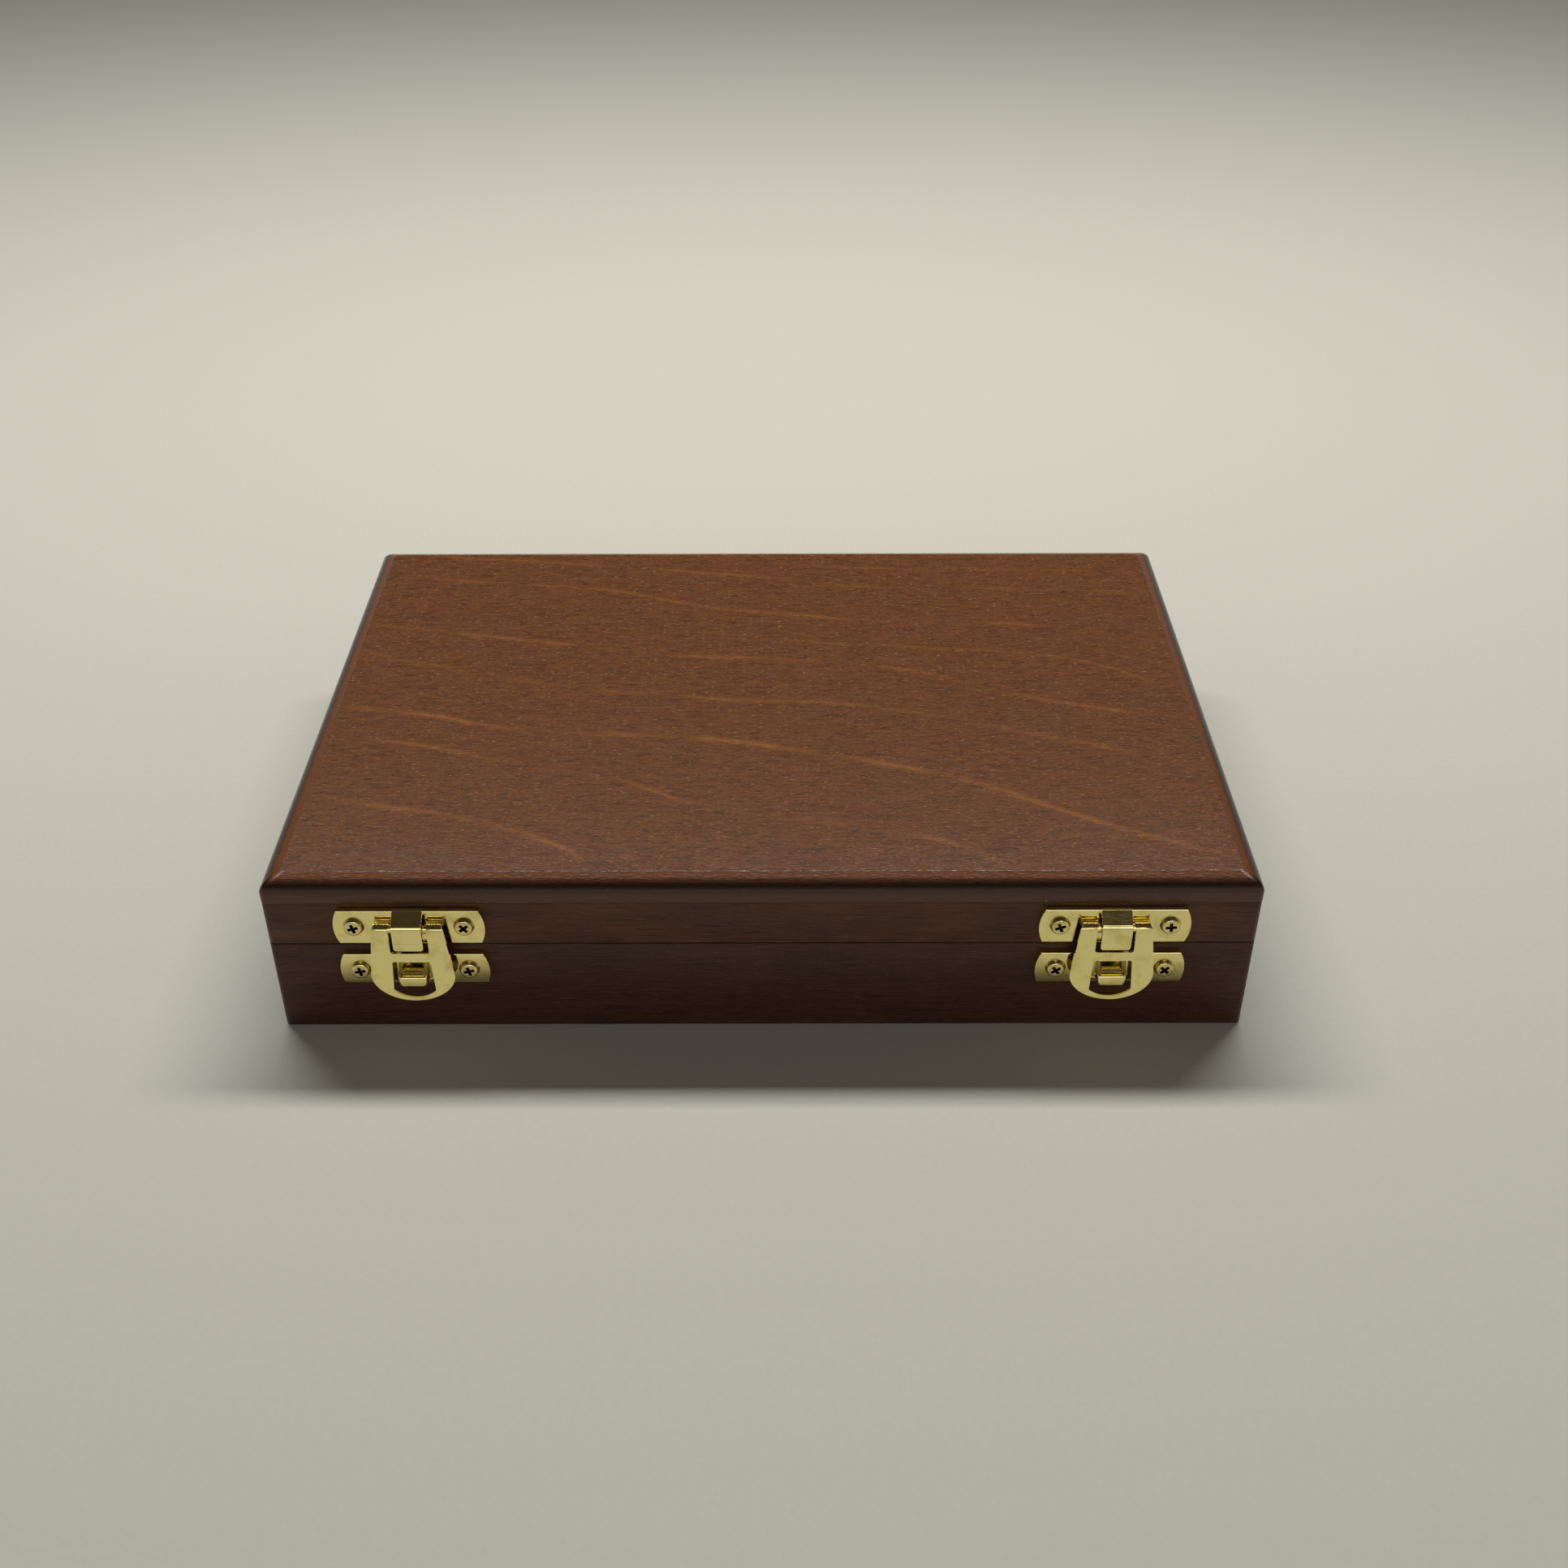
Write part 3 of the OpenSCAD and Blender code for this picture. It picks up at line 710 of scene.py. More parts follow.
@dataclass(frozen=True)
class Satin:
    """Satin-woven lining silk: long floating threads that shine across their run, over soft wadding."""

    name: str
    thread: str
    shade: str
    sheen: str = "#fff4dc"
    pitch: float = 0.5

    def build(self) -> Material:
        """Makes the material."""
        recipe = Recipe(self.name)
        # Threads are about 0.15 mm apart; they are drawn 0.5 mm apart so that they show
        run = recipe.add("Mapping", {"Vector": recipe.place, "Scale": cells(6, self.pitch, self.pitch)})
        threads = recipe.add("TexNoise", {"Vector": run, "Scale": 1.0, "Detail": 2.0})
        clouds = recipe.add("TexNoise", {"Vector": recipe.place, "Scale": 1 / (20 * MM), "Detail": 2.0})
        lit = recipe.add("Math", (threads, clouds), operation="MULTIPLY")
        lit = recipe.add("MapRange", (lit, 0.15, 0.35, 0.0, 0.8))
        tints = {MIX_FACTOR: lit, MIX_A: self.shade, MIX_B: self.thread}
        colour = recipe.add("Mix", tints, data_type="RGBA")
        rough = recipe.add("MapRange", (threads, 0.3, 0.7, 0.3, 0.44))
        bump = recipe.add("Bump", {"Height": threads, "Strength": 0.6, "Distance": 0.05 * MM})
        return recipe.finish(
            IOR=1.5,
            Anisotropic=0.6,
            Sheen_Weight=0.25,
            Sheen_Roughness=0.3,
            Sheen_Tint=self.sheen,
            Base_Color=colour,
            Roughness=rough,
            Normal=bump,
        )


# Wooden pieces


def upright(a: Vector, b: Vector) -> bool:
    """Whether an edge between two points stands upright."""
    return (a.xy - b.xy).length < SPECK


@dataclass
class BoardFrame:
    """Four mitred boards round an open middle, as the base and as the lid's frame."""

    name: str
    board: str
    part: Part
    bottom: float
    top: float
    rebated: bool
    ease: float = 0.35 * MM
    stop_angle: float = math.radians(47.8)
    pocket_half: float = 15.1 * MM
    pocket_width: float = 6.7 * MM
    leaf: float = 1 * MM
    barrel_r: float = 2.1 * MM
    corner_steps: int = 10
    ease_steps: int = 3
    shade_angle: float = 30

    def build(self, along_x: Material, along_y: Material) -> None:
        """Builds the frame, lets in the hinges and saws it into its four boards.

        Args:
            along_x: Finish of the front and back boards.
            along_y: Finish of the side boards.
        """
        ring = self.ring()
        self.bevel_back(ring)
        self.let_in_hinges(ring)
        sides = {"front": (0, -1), "back": (0, 1), "left": (-1, 0), "right": (1, 0)}
        for side, (sx, sy) in sides.items():
            node = f"{self.name}_{side}_{self.board}"
            board = Bench.copy(ring, f"{node}_wood")
            with Bench.editing(board):
                for turn in (-1, 1):
                    corner_x, corner_y = sx or turn, sy or turn
                    corner = (corner_x * CASE_W / 2, corner_y * CASE_D / 2, 0)
                    Bench.saw(corner, (corner_x - 2 * sx, corner_y - 2 * sy, 0))
            Bench.smooth(board, self.shade_angle)
            hand_over(board, self.part, along_y if sx else along_x, node)
        bpy.data.objects.remove(ring)

    def ring(self) -> Piece:
        """The whole frame in one piece, hollowed, with rounded corners and eased edges."""
        low, high = (-CASE_W / 2, FRONT_Y, self.bottom), (CASE_W / 2, BACK_Y, self.top)
        ring = Bench.box(f"{self.name}_ring", low, high)
        with Bench.editing(ring):
            Bench.pick_edges(ring, upright)
            bpy.ops.mesh.bevel(offset=CORNER_R, segments=self.corner_steps)
            Bench.pick_edges(ring, lambda a, b: abs(a.z - b.z) < SPECK)
            bpy.ops.mesh.bevel(offset=self.ease, segments=self.ease_steps)
        cuts = [(0.0, self.top + MM)]
        if self.rebated:
            cuts.append((REBATE, self.bottom + FLOOR_T))
        for wider, high in cuts:
            half_x, half_y = INNER_X + wider, INNER_Y + wider
            hollow = Bench.box("hollow", (-half_x, -half_y, self.bottom - MM), (half_x, half_y, high))
            Bench.combine(ring, hollow, "DIFFERENCE")
        rim = self.top if self.rebated else self.bottom
        with Bench.editing(ring):
            Bench.pick_line(
                ring,
                lambda p: abs(p.z - rim) < SPECK
                and abs(p.x) < INNER_X + SPECK
                and abs(p.y) < INNER_Y + SPECK,
            )
            bpy.ops.mesh.bevel(offset=self.ease, segments=self.ease_steps)
        return ring

    def bevel_back(self, ring: Piece) -> None:
        """Planes the back edge of the rim to the slope that stops the open lid."""
        slope = 1 if self.rebated else -1
        with Bench.editing(ring):
            away = (0, math.sin(self.stop_angle), slope * math.cos(self.stop_angle))
            Bench.saw((0, AXIS_Y, PARTING_Z), away)

    def let_in_hinges(self, ring: Piece) -> None:
        """Cuts the recesses for the leaves and the hollows for the barrels."""
        for x in (-HINGE_X, HINGE_X):
            axis = (x, AXIS_Y, PARTING_Z)
            hollow = Bench.rod("hollow", axis, self.barrel_r, 2 * self.pocket_half, "X", BAR_SIDES)
            low = (x - self.pocket_half, AXIS_Y - self.pocket_width, PARTING_Z - self.leaf)
            high = (x + self.pocket_half, AXIS_Y, PARTING_Z + self.leaf)
            recess = Bench.box("recess", low, high)
            for tool in (hollow, recess):
                Bench.combine(ring, tool, "DIFFERENCE")


@dataclass
class TopPanel:
    """Panel on the lid's frame, whose upper edge starts at a slight arris and rounds over to the side.

    The profile gives, from the side up, how far each point is from the arris and below the top, in mm.
    """

    profile: tuple[tuple[float, float], ...] = (
        (4.4, 3.6), (4.36, 3.2), (4.26, 2.85), (4.1, 2.5), (3.88, 2.15),
        (3.6, 1.82), (3.25, 1.5), (2.85, 1.22), (2.35, 0.95), (1.75, 0.69),
        (1.1, 0.45), (0.55, 0.23), (0.2, 0.09), (0.03, 0.018), (-0.04, 0.0),
    )
    ease: float = 0.15 * MM
    corner_steps: int = 10
    ease_steps: int = 2
    shade_angle: float = 13

    def build(self, finish: Material) -> None:
        """Builds the panel.

        Args:
            finish: Its material.
        """
        half_w, half_d = CASE_W / 2 + TOP_LIP, CASE_D / 2 + TOP_LIP
        side, drop = self.profile[0][0], self.profile[0][1] * MM
        inset = 0.0
        low, high = (-half_w, -half_d, FRAME_TOP_Z), (half_w, half_d, CASE_TOP_Z - drop)
        panel = Bench.box("top_panel_wood", low, high)
        with Bench.editing(panel):
            Bench.pick_edges(panel, upright)
            bpy.ops.mesh.bevel(offset=CORNER_R, segments=self.corner_steps)
            Bench.pick_side(panel, (0, 0, 1))
            for from_arris, below in self.profile[1:]:
                next_inset, next_drop = (side - from_arris) * MM, below * MM
                Bench.pull((0, 0, drop - next_drop))
                wide = (half_w - next_inset) / (half_w - inset)
                deep = (half_d - next_inset) / (half_d - inset)
                Bench.scale((wide, deep, 1))
                inset, drop = next_inset, next_drop
            Bench.pick_line(panel, lambda p: abs(p.z - FRAME_TOP_Z) < SPECK)
            bpy.ops.mesh.bevel(offset=self.ease, segments=self.ease_steps)
        Bench.smooth(panel, self.shade_angle)
        with Bench.editing(panel):
            Bench.pick_line(panel, lambda p: p.z > CASE_TOP_Z - WELD)
            bpy.ops.mesh.mark_sharp()
        hand_over(panel, Part.LID, finish, "top_panel")


# Brass pieces


@dataclass
class LatchPlate:
    """A pressed plate, its ends bowed and its long edges rolled back."""

    z: float
    low_r: float
    high_r: float = 0.3 * MM
    half_width: float = 17.45 * MM
    height: float = 9.8 * MM
    end_r: float = 10.23 * MM
    depth: float = 2 * MM
    corner_r: float = 1.1 * MM
    seam: float = 12 * MM
    arris: float = 0.22 * MM
    end_sides: int = 256
    corner_steps: int = 8
    roll_steps: int = 12

    def build(self, name: str) -> Piece:
        """Builds the right end up to a seam, stretches it to the middle, mirrors it and rolls its edges.

        Args:
            name: The piece's name.

        Returns:
            The plate.
        """
        half, end_x = self.height / 2, self.half_width - self.end_r
        middle = (end_x, FRONT_Y - self.depth / 2, self.z)
        plate = Bench.rod(name, middle, self.end_r, self.depth, "Y", self.end_sides)
        with Bench.editing(plate):
            Bench.saw((0, 0, self.z + half), (0, 0, 1))
            Bench.saw((0, 0, self.z - half), (0, 0, -1))
            Bench.saw((self.seam, 0, 0), (-1, 0, 0))
            Bench.pick_side(plate, (-1, 0, 0))
            bpy.ops.transform.translate(value=(-self.seam, 0, 0))
            Bench.pick_edges(
                plate,
                lambda a, b: abs(a.y - b.y) > self.depth / 2
                and abs(abs(a.z - self.z) - half) < SPECK
                and a.x > self.seam,
            )
            bpy.ops.mesh.bevel(offset=self.corner_r, segments=self.corner_steps)
            Bench.pick_side(plate, (-1, 0, 0))
            bpy.ops.mesh.delete(type="FACE")
        Bench.modify(plate, "MIRROR", merge_threshold=SPECK)
        wide, front, back = self.half_width + MM, FRONT_Y - self.depth, FRONT_Y + self.depth
        rolled = Bench.box("rolled", (-wide, front, self.z - half), (wide, back, self.z + half))
        for edge_z, radius in ((self.z + half, self.high_r), (self.z - half, self.low_r)):
            with Bench.editing(rolled):
                Bench.pick_line(rolled, lambda p: abs(p.y - front) < SPECK and abs(p.z - edge_z) < SPECK)
                bpy.ops.mesh.bevel(offset=radius, segments=self.roll_steps)
        Bench.combine(plate, rolled, "INTERSECT")
        Bench.soften(plate, self.arris)
        return plate


@dataclass
class HookedTab:
    """A strip that slopes out from the upper plate and hangs down in front of the lever's roll."""

    half_width: float = 3.5 * MM
    out: float = 5.1 * MM
    low_z: float = 27.75 * MM
    bend_z: float = 33.7 * MM
    bend_r: float = 0.9 * MM
    bend_turn: float = math.radians(56)
    root_out: float = 1.2 * MM
    root_z: float = 36.8 * MM
    sheet: float = 0.8 * MM
    corner_r: float = 0.8 * MM
    arris: float = 0.16 * MM
    bend_steps: int = 8
    corner_steps: int = 6

    def build(self, name: str) -> Piece:
        """Builds the tab from a flat sheet, and gives it its thickness.

        Args:
            name: The piece's name.

        Returns:
            The tab.
        """
        front = FRONT_Y - self.out
        low, high = (-self.half_width, front, self.low_z), (self.half_width, front + SPECK, self.bend_z)
        tab = Bench.box(name, low, high)
        with Bench.editing(tab):
            Bench.pick_faces(tab, lambda c, n: n.y < FACING)
            bpy.ops.mesh.delete(type="FACE")
            Bench.pick_line(tab, lambda p: p.z > self.bend_z - SPECK)
            bend = (0, front + SPECK + self.bend_r, self.bend_z)
            bpy.ops.mesh.spin(steps=self.bend_steps, angle=self.bend_turn, center=bend, axis=(1, 0, 0))
            bpy.ops.mesh.select_mode(type="VERT")
            edge = [v.co for v in bmesh.from_edit_mesh(tab.data).verts if v.select]
            middle = sum(edge, Vector()) / len(edge)
            Bench.pull((0, FRONT_Y - self.root_out - middle.y, self.root_z - middle.z))
        Bench.modify(tab, "SOLIDIFY", thickness=self.sheet, offset=0)
        with Bench.editing(tab):
            Bench.pick_edges(
                tab, lambda a, b: max(a.z, b.z) < self.low_z + SPECK and abs(a.y - b.y) > self.sheet / 2
            )
            bpy.ops.mesh.bevel(offset=self.corner_r, segments=self.corner_steps)
        Bench.soften(tab, self.arris, angle=50)
        return tab


@dataclass
class Catch:
    """A pillow on the lower plate, with a blunt rounded nose and a dished, sloping top."""

    half_width: float = 3.6 * MM
    low_z: float = 17 * MM
    high_z: float = 23.3 * MM
    nose_z: float = 20.2 * MM
    root_out: float = 1 * MM
    out: float = 5.8 * MM
    taper: float = 0.92
    corner_r: float = 1.1 * MM
    lip: float = 0.85 * MM
    dish: float = 0.8 * MM
    dish_back: float = 0.7
    arris: float = 0.6 * MM
    corner_steps: int = 6

    def build(self, name: str) -> Piece:
        """Builds the catch.

        Args:
            name: The piece's name.

        Returns:
            The catch.
        """
        front, back = FRONT_Y - self.out, FRONT_Y - self.root_out
        low, high = (-self.half_width, front, self.low_z), (self.half_width, back, self.high_z)
        catch = Bench.box(name, low, high)
        with Bench.editing(catch):
            Bench.pick_line(catch, lambda p: p.z > self.high_z - SPECK and p.y < front + SPECK)
            bpy.ops.transform.translate(value=(0, 0, self.nose_z - self.high_z))
            Bench.pick_side(catch, (0, -1, 0))
            Bench.scale((self.taper, 1, 1))
            Bench.pick_edges(
                catch, lambda a, b: abs(a.y - b.y) > CLEAR and max(a.z, b.z) < self.low_z + SPECK
            )
            bpy.ops.mesh.bevel(offset=self.corner_r, segments=self.corner_steps)
            Bench.pick_faces(catch, lambda c, n: n.z > 0.5)
            bpy.ops.mesh.inset(thickness=self.lip)
            bpy.ops.transform.translate(value=(0, self.dish * self.dish_back, -self.dish))
        Bench.soften(catch, self.arris, segments=6, angle=20)
        return catch


@dataclass
class Lever:
    """A stamped and slightly bowed sheet with two windows, its upper edge folded back round a bar."""

    axis_out: float = 3.35 * MM
    axis_z: float = 32.75 * MM
    roll_r: float = 1.3 * MM
    bar_r: float = 1 * MM
    thick: float = 0.6 * MM
    low_z: float = 12.6 * MM
    round_h: float = 7.3 * MM
    low_half: float = 9.75 * MM
    top_half: float = 8.2 * MM
    rim: float = 0.9 * MM
    window_half: float = 4.45 * MM
    window_low_r: float = 7.3 * MM
    window_corner_r: float = 0.6 * MM
    splay: float = 0.55 * MM
    bridge_low: float = 23.9 * MM
    bridge_high: float = 26.4 * MM
    bow_steps: int = 5
    bow_step: float = 2 * MM
    bow_turn: float = math.radians(1.2)
    fold_r: float = 0.1 * MM
    fold_z: float = 33.08 * MM
    fold_turn: float = math.radians(58)
    flange: float = 0.75 * MM
    fold_taper: float = 0.965
    flange_taper: float = 0.975
    arris: float = 0.14 * MM
    corner_steps: int = 6
    fold_steps: int = 6
    roll_steps: int = 12

    @property
    def face(self) -> float:
        """Where the lever's front stands."""
        return FRONT_Y - self.axis_out - self.roll_r

    def build(self, name: str) -> Piece:
        """Builds the lever.

        Args:
            name: The piece's name.

        Returns:
            The lever.
        """
        sheet = self.blank(name)
        self.cut_windows(sheet)
        with Bench.editing(sheet):
            self.bow(sheet)
            self.fold(sheet)
        Bench.soften(sheet, self.arris)
        axis = (0, FRONT_Y - self.axis_out, self.axis_z)
        bar = Bench.rod("bar", axis, self.bar_r, 2 * self.top_half - MM, "X", BAR_SIDES)
        return Bench.join([sheet, bar], name)

    def blank(self, name: str) -> Piece:
        """The flat sheet: half an ellipse below, and sides that draw in towards the top."""
        round_z = self.low_z + self.round_h
        rise = self.fold_z - round_z
        middle = (0, self.face + self.thick / 2, round_z)
        sheet = Bench.rod(name, middle, self.low_half, self.thick, "Y", SHEET_SIDES)
        with Bench.editing(sheet):
            bpy.ops.mesh.select_all(action="SELECT")
            Bench.scale((1, 1, self.round_h / self.low_half), (0, 0, round_z))
            Bench.saw((0, 0, round_z), (0, 0, 1))
            Bench.pick_side(sheet, (0, 0, 1))
            Bench.pull((0, 0, rise))
            for side in (-1, 1):
                away = (side * rise, 0, self.low_half - self.top_half)
                Bench.saw((side * self.low_half, 0, round_z), away)
        return sheet

    def cut_windows(self, sheet: Piece) -> None:
        """Cuts the window round the tab and the one over the catch, with the bridge between them."""
        half, rim_z = self.window_half, self.low_z + self.rim
        low = (-half, self.face - MM, self.bridge_high)
        upper = Bench.box("upper_window", low, (half, self.face + 2 * MM, self.fold_z + MM))
        middle = (0, self.face, rim_z + self.window_low_r)
        lower = Bench.rod("lower_window", middle, self.window_low_r, 4 * MM, "Y", SHEET_SIDES)
        with Bench.editing(lower):
            Bench.saw((0, 0, self.bridge_low), (0, 0, 1))
            for side in (-1, 1):
                away = (side * (self.bridge_low - rim_z), 0, self.splay)
                Bench.saw((side * half, 0, self.bridge_low), away)
        for window in (upper, lower):
            with Bench.editing(window):
                Bench.pick_edges(
                    window,
                    lambda a, b: abs(a.y - b.y) > MM
                    and abs(abs(a.x) - half) < SPECK
                    and a.z > rim_z + CLEAR,
                )
                bpy.ops.mesh.bevel(offset=self.window_corner_r, segments=self.corner_steps)
            Bench.combine(sheet, window, "DIFFERENCE")

    def bow(self, sheet: Piece) -> None:
        """Bows the lower part of the open sheet forwards, a little at each of a few lines."""
        for step in range(self.bow_steps, 0, -1):
            line = (0, self.face, self.low_z + step * self.bow_step)
            bpy.ops.mesh.select_all(action="SELECT")
            bpy.ops.mesh.bisect(plane_co=line, plane_no=(0, 0, 1), threshold=WELD)
            Bench.pick_faces(sheet, lambda c, n: c.z < line[2] - SPECK)
            bpy.ops.transform.rotate(value=self.bow_turn, orient_axis="X", center_override=line)

    def fold(self, sheet: Piece) -> None:
        """Folds the upper edge of the open sheet back and down, over a short sloping flange."""
        inner = self.face + self.thick + self.fold_r
        Bench.pick_faces(sheet, lambda c, n: n.z > FACING and c.z > self.fold_z - SPECK)
        start = (0, inner, self.fold_z)
        bpy.ops.mesh.spin(steps=self.fold_steps, angle=self.fold_turn, center=start, axis=(1, 0, 0))
        Bench.scale((self.fold_taper, 1, 1))
        run = (0, self.flange * math.sin(self.fold_turn), self.flange * math.cos(self.fold_turn))
        Bench.pull(run)
        Bench.scale((self.flange_taper, 1, 1))
        end = (0, inner + run[1], self.fold_z + run[2])
        back = math.pi - self.fold_turn
        bpy.ops.mesh.spin(steps=self.roll_steps, angle=back, center=end, axis=(1, 0, 0))
        Bench.pull((0, 0, -self.flange))


@dataclass
class Latch:
    """One stamped latch: a lid plate with a hooked tab, a base plate with a catch, and a lever."""

    name: str
    lever_part: Part
    x: float
    upper_z: float = 32 * MM
    upper_r: float = 0.5 * MM
    lower_z: float = 19.1 * MM
    lower_r: float = 1.9 * MM
    shade_angle: float = 30

    def build(self, finish: Material) -> None:
        """Builds the latch at its place.

        Args:
            finish: Its plating.
        """
        upper = [LatchPlate(self.upper_z, self.upper_r).build("upper"), HookedTab().build("tab")]
        lower = [LatchPlate(self.lower_z, self.lower_r).build("lower"), Catch().build("catch")]
        for piece, part, node in (
            (Bench.join(upper, "upper"), Part.LID, f"upper_latch_plate_{self.name}"),
            (Bench.join(lower, "lower"), Part.BASE, f"lower_latch_plate_{self.name}"),
            (Lever().build("lever"), self.lever_part, f"latch_lever_{self.name}"),
        ):
            placed = Bench.copy(piece, f"{node}_brass", (self.x, 0, 0))
            bpy.data.objects.remove(piece)
            Bench.smooth(placed, self.shade_angle)
            Bench.modify(placed, "WEIGHTED_NORMAL", keep_sharp=True)
            hand_over(placed, part, finish, node)


@dataclass
class LatchScrews:
    """The four pan-head screws of the upper or of the lower plates, each at its own turn in degrees."""

    name: str
    part: Part
    z: float
    turns: tuple[float, float, float, float]
    head_r: float = 2.45 * MM
    face_r: float = 2 * MM
    face_ring: float = 0.5 * MM
    round_r: float = 0.25 * MM
    round_steps: int = 5
    head_h: float = 1.1 * MM
    shank_r: float = 1.1 * MM
    shank_h: float = 8.5 * MM
    point_h: float = 1 * MM
    point_taper: float = 0.05
    slot_half: float = 1.65 * MM
    slot_half_t: float = 0.46 * MM
    slot_deep: float = 0.8 * MM
    slot_taper: Triple = (0.6, 0.75, 1.0)
    cross_shade_r: float = 1.5 * MM
    cross_shade_from: float = 0.05 * MM
    apart: float = 12.7 * MM
    stand: float = 2 * MM
    sides: int = 64
    shade_angle: float = 40

    def build(self, finish: Material) -> None:
        """Builds one screw, and sets four copies of it at their places and turns.

        Args:
            finish: The screws' plating.
        """
        model = self.screw()
        screws = []
        places = [x + side for x in (-LATCH_X, LATCH_X) for side in (-self.apart, self.apart)]
        for x, turn in zip(places, self.turns):
            screw = Bench.copy(model, "screw_copy")
            screw.matrix_world = (
                Matrix.Translation((x, FRONT_Y - self.stand, self.z))
                @ Matrix.Rotation(QUARTER, 4, "X")
                @ Matrix.Rotation(math.radians(turn), 4, "Z")
            )
            Bench.take(screw)
            screws.append(Bench.settle(screw.name))
        bpy.data.objects.remove(model)
        group = Bench.join(screws, f"{self.name}_brass")
        Bench.smooth(group, self.shade_angle)
        hand_over(group, self.part, finish, self.name)

    def screw(self) -> Piece:
        """One screw, which points down with the underside of its head at height 0."""
        middle = (0, 0, self.head_h / 2)
        screw = Bench.rod("screw", middle, self.head_r, self.head_h, "Z", self.sides)
        shrink = self.face_r / self.head_r
        with Bench.editing(screw):
            Bench.pick_side(screw, (0, 0, 1))
            Bench.scale((shrink, shrink, 1))
            bpy.ops.mesh.inset(thickness=self.face_ring)
            face_r = self.face_r - SPECK
            Bench.pick_line(screw, lambda p: p.z > self.head_h - SPECK and p.xy.length > face_r)
            bpy.ops.mesh.bevel(offset=self.round_r, segments=self.round_steps)
            Bench.pick_side(screw, (0, 0, -1))
            bpy.ops.mesh.inset(thickness=self.head_r - self.shank_r)
            Bench.pull((0, 0, -self.shank_h))
            Bench.pull((0, 0, -self.point_h))
            Bench.scale((self.point_taper, self.point_taper, 1))
        low, high = self.head_h - self.slot_deep, self.head_h + MM
        for turn in (0, QUARTER):
            half, half_t = self.slot_half, self.slot_half_t
            slot = Bench.box("slot", (-half, -half_t, low), (half, half_t, high))
            with Bench.editing(slot):
                Bench.pick_side(slot, (0, 0, -1))
                Bench.scale(self.slot_taper)
                bpy.ops.mesh.select_all(action="SELECT")
                bpy.ops.transform.rotate(value=turn, orient_axis="Z", center_override=ORIGIN)
            Bench.combine(screw, slot, "DIFFERENCE")
        # Marks the faces deep in the cross, where the finish paints shade
        hollow = screw.data.attributes.new(HOLLOW, "FLOAT", "FACE")
        for face, mark in zip(screw.data.polygons, hollow.data):
            deep = self.head_h - MM < face.center.z < self.head_h - self.cross_shade_from
            mark.value = float(deep and face.center.xy.length < self.cross_shade_r)
        return screw


def dress_nodes(names: tuple[str, ...], finish: Material) -> None:
    """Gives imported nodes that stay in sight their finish."""
    for name in names:
        for holder in frame["nodes"][name].material_slots:
            holder.material = finish
        LOG.info("%s keeps its packed shape", name)


# Lining


@dataclass
class LiningStrip:
    """A strip of card wrapped in velvet, standing along one wall of the base."""

    side: str
    low: Triple
    high: Triple
    fill: float = 0.9
    fold_r: float = 0.85 * MM
    fold_steps: int = 6
    shade_angle: float = 40

    def build(self, finish: Material) -> None:
        """Builds the strip.

        Args:
            finish: The velvet.
        """
        node = f"{self.side}_lining_strip"
        strip = Bench.box(f"{node}_velvet", self.low, self.high)
        with Bench.editing(strip):
            Bench.pick_edges(
                strip, lambda a, b: min(a.z, b.z) > self.high[2] - SPECK and (a - b).length > WALL
            )
            bpy.ops.mesh.bevel(offset=self.fold_r, segments=self.fold_steps)
        Bench.smooth(strip, self.shade_angle)
        hand_over(strip, Part.BASE, finish, node)


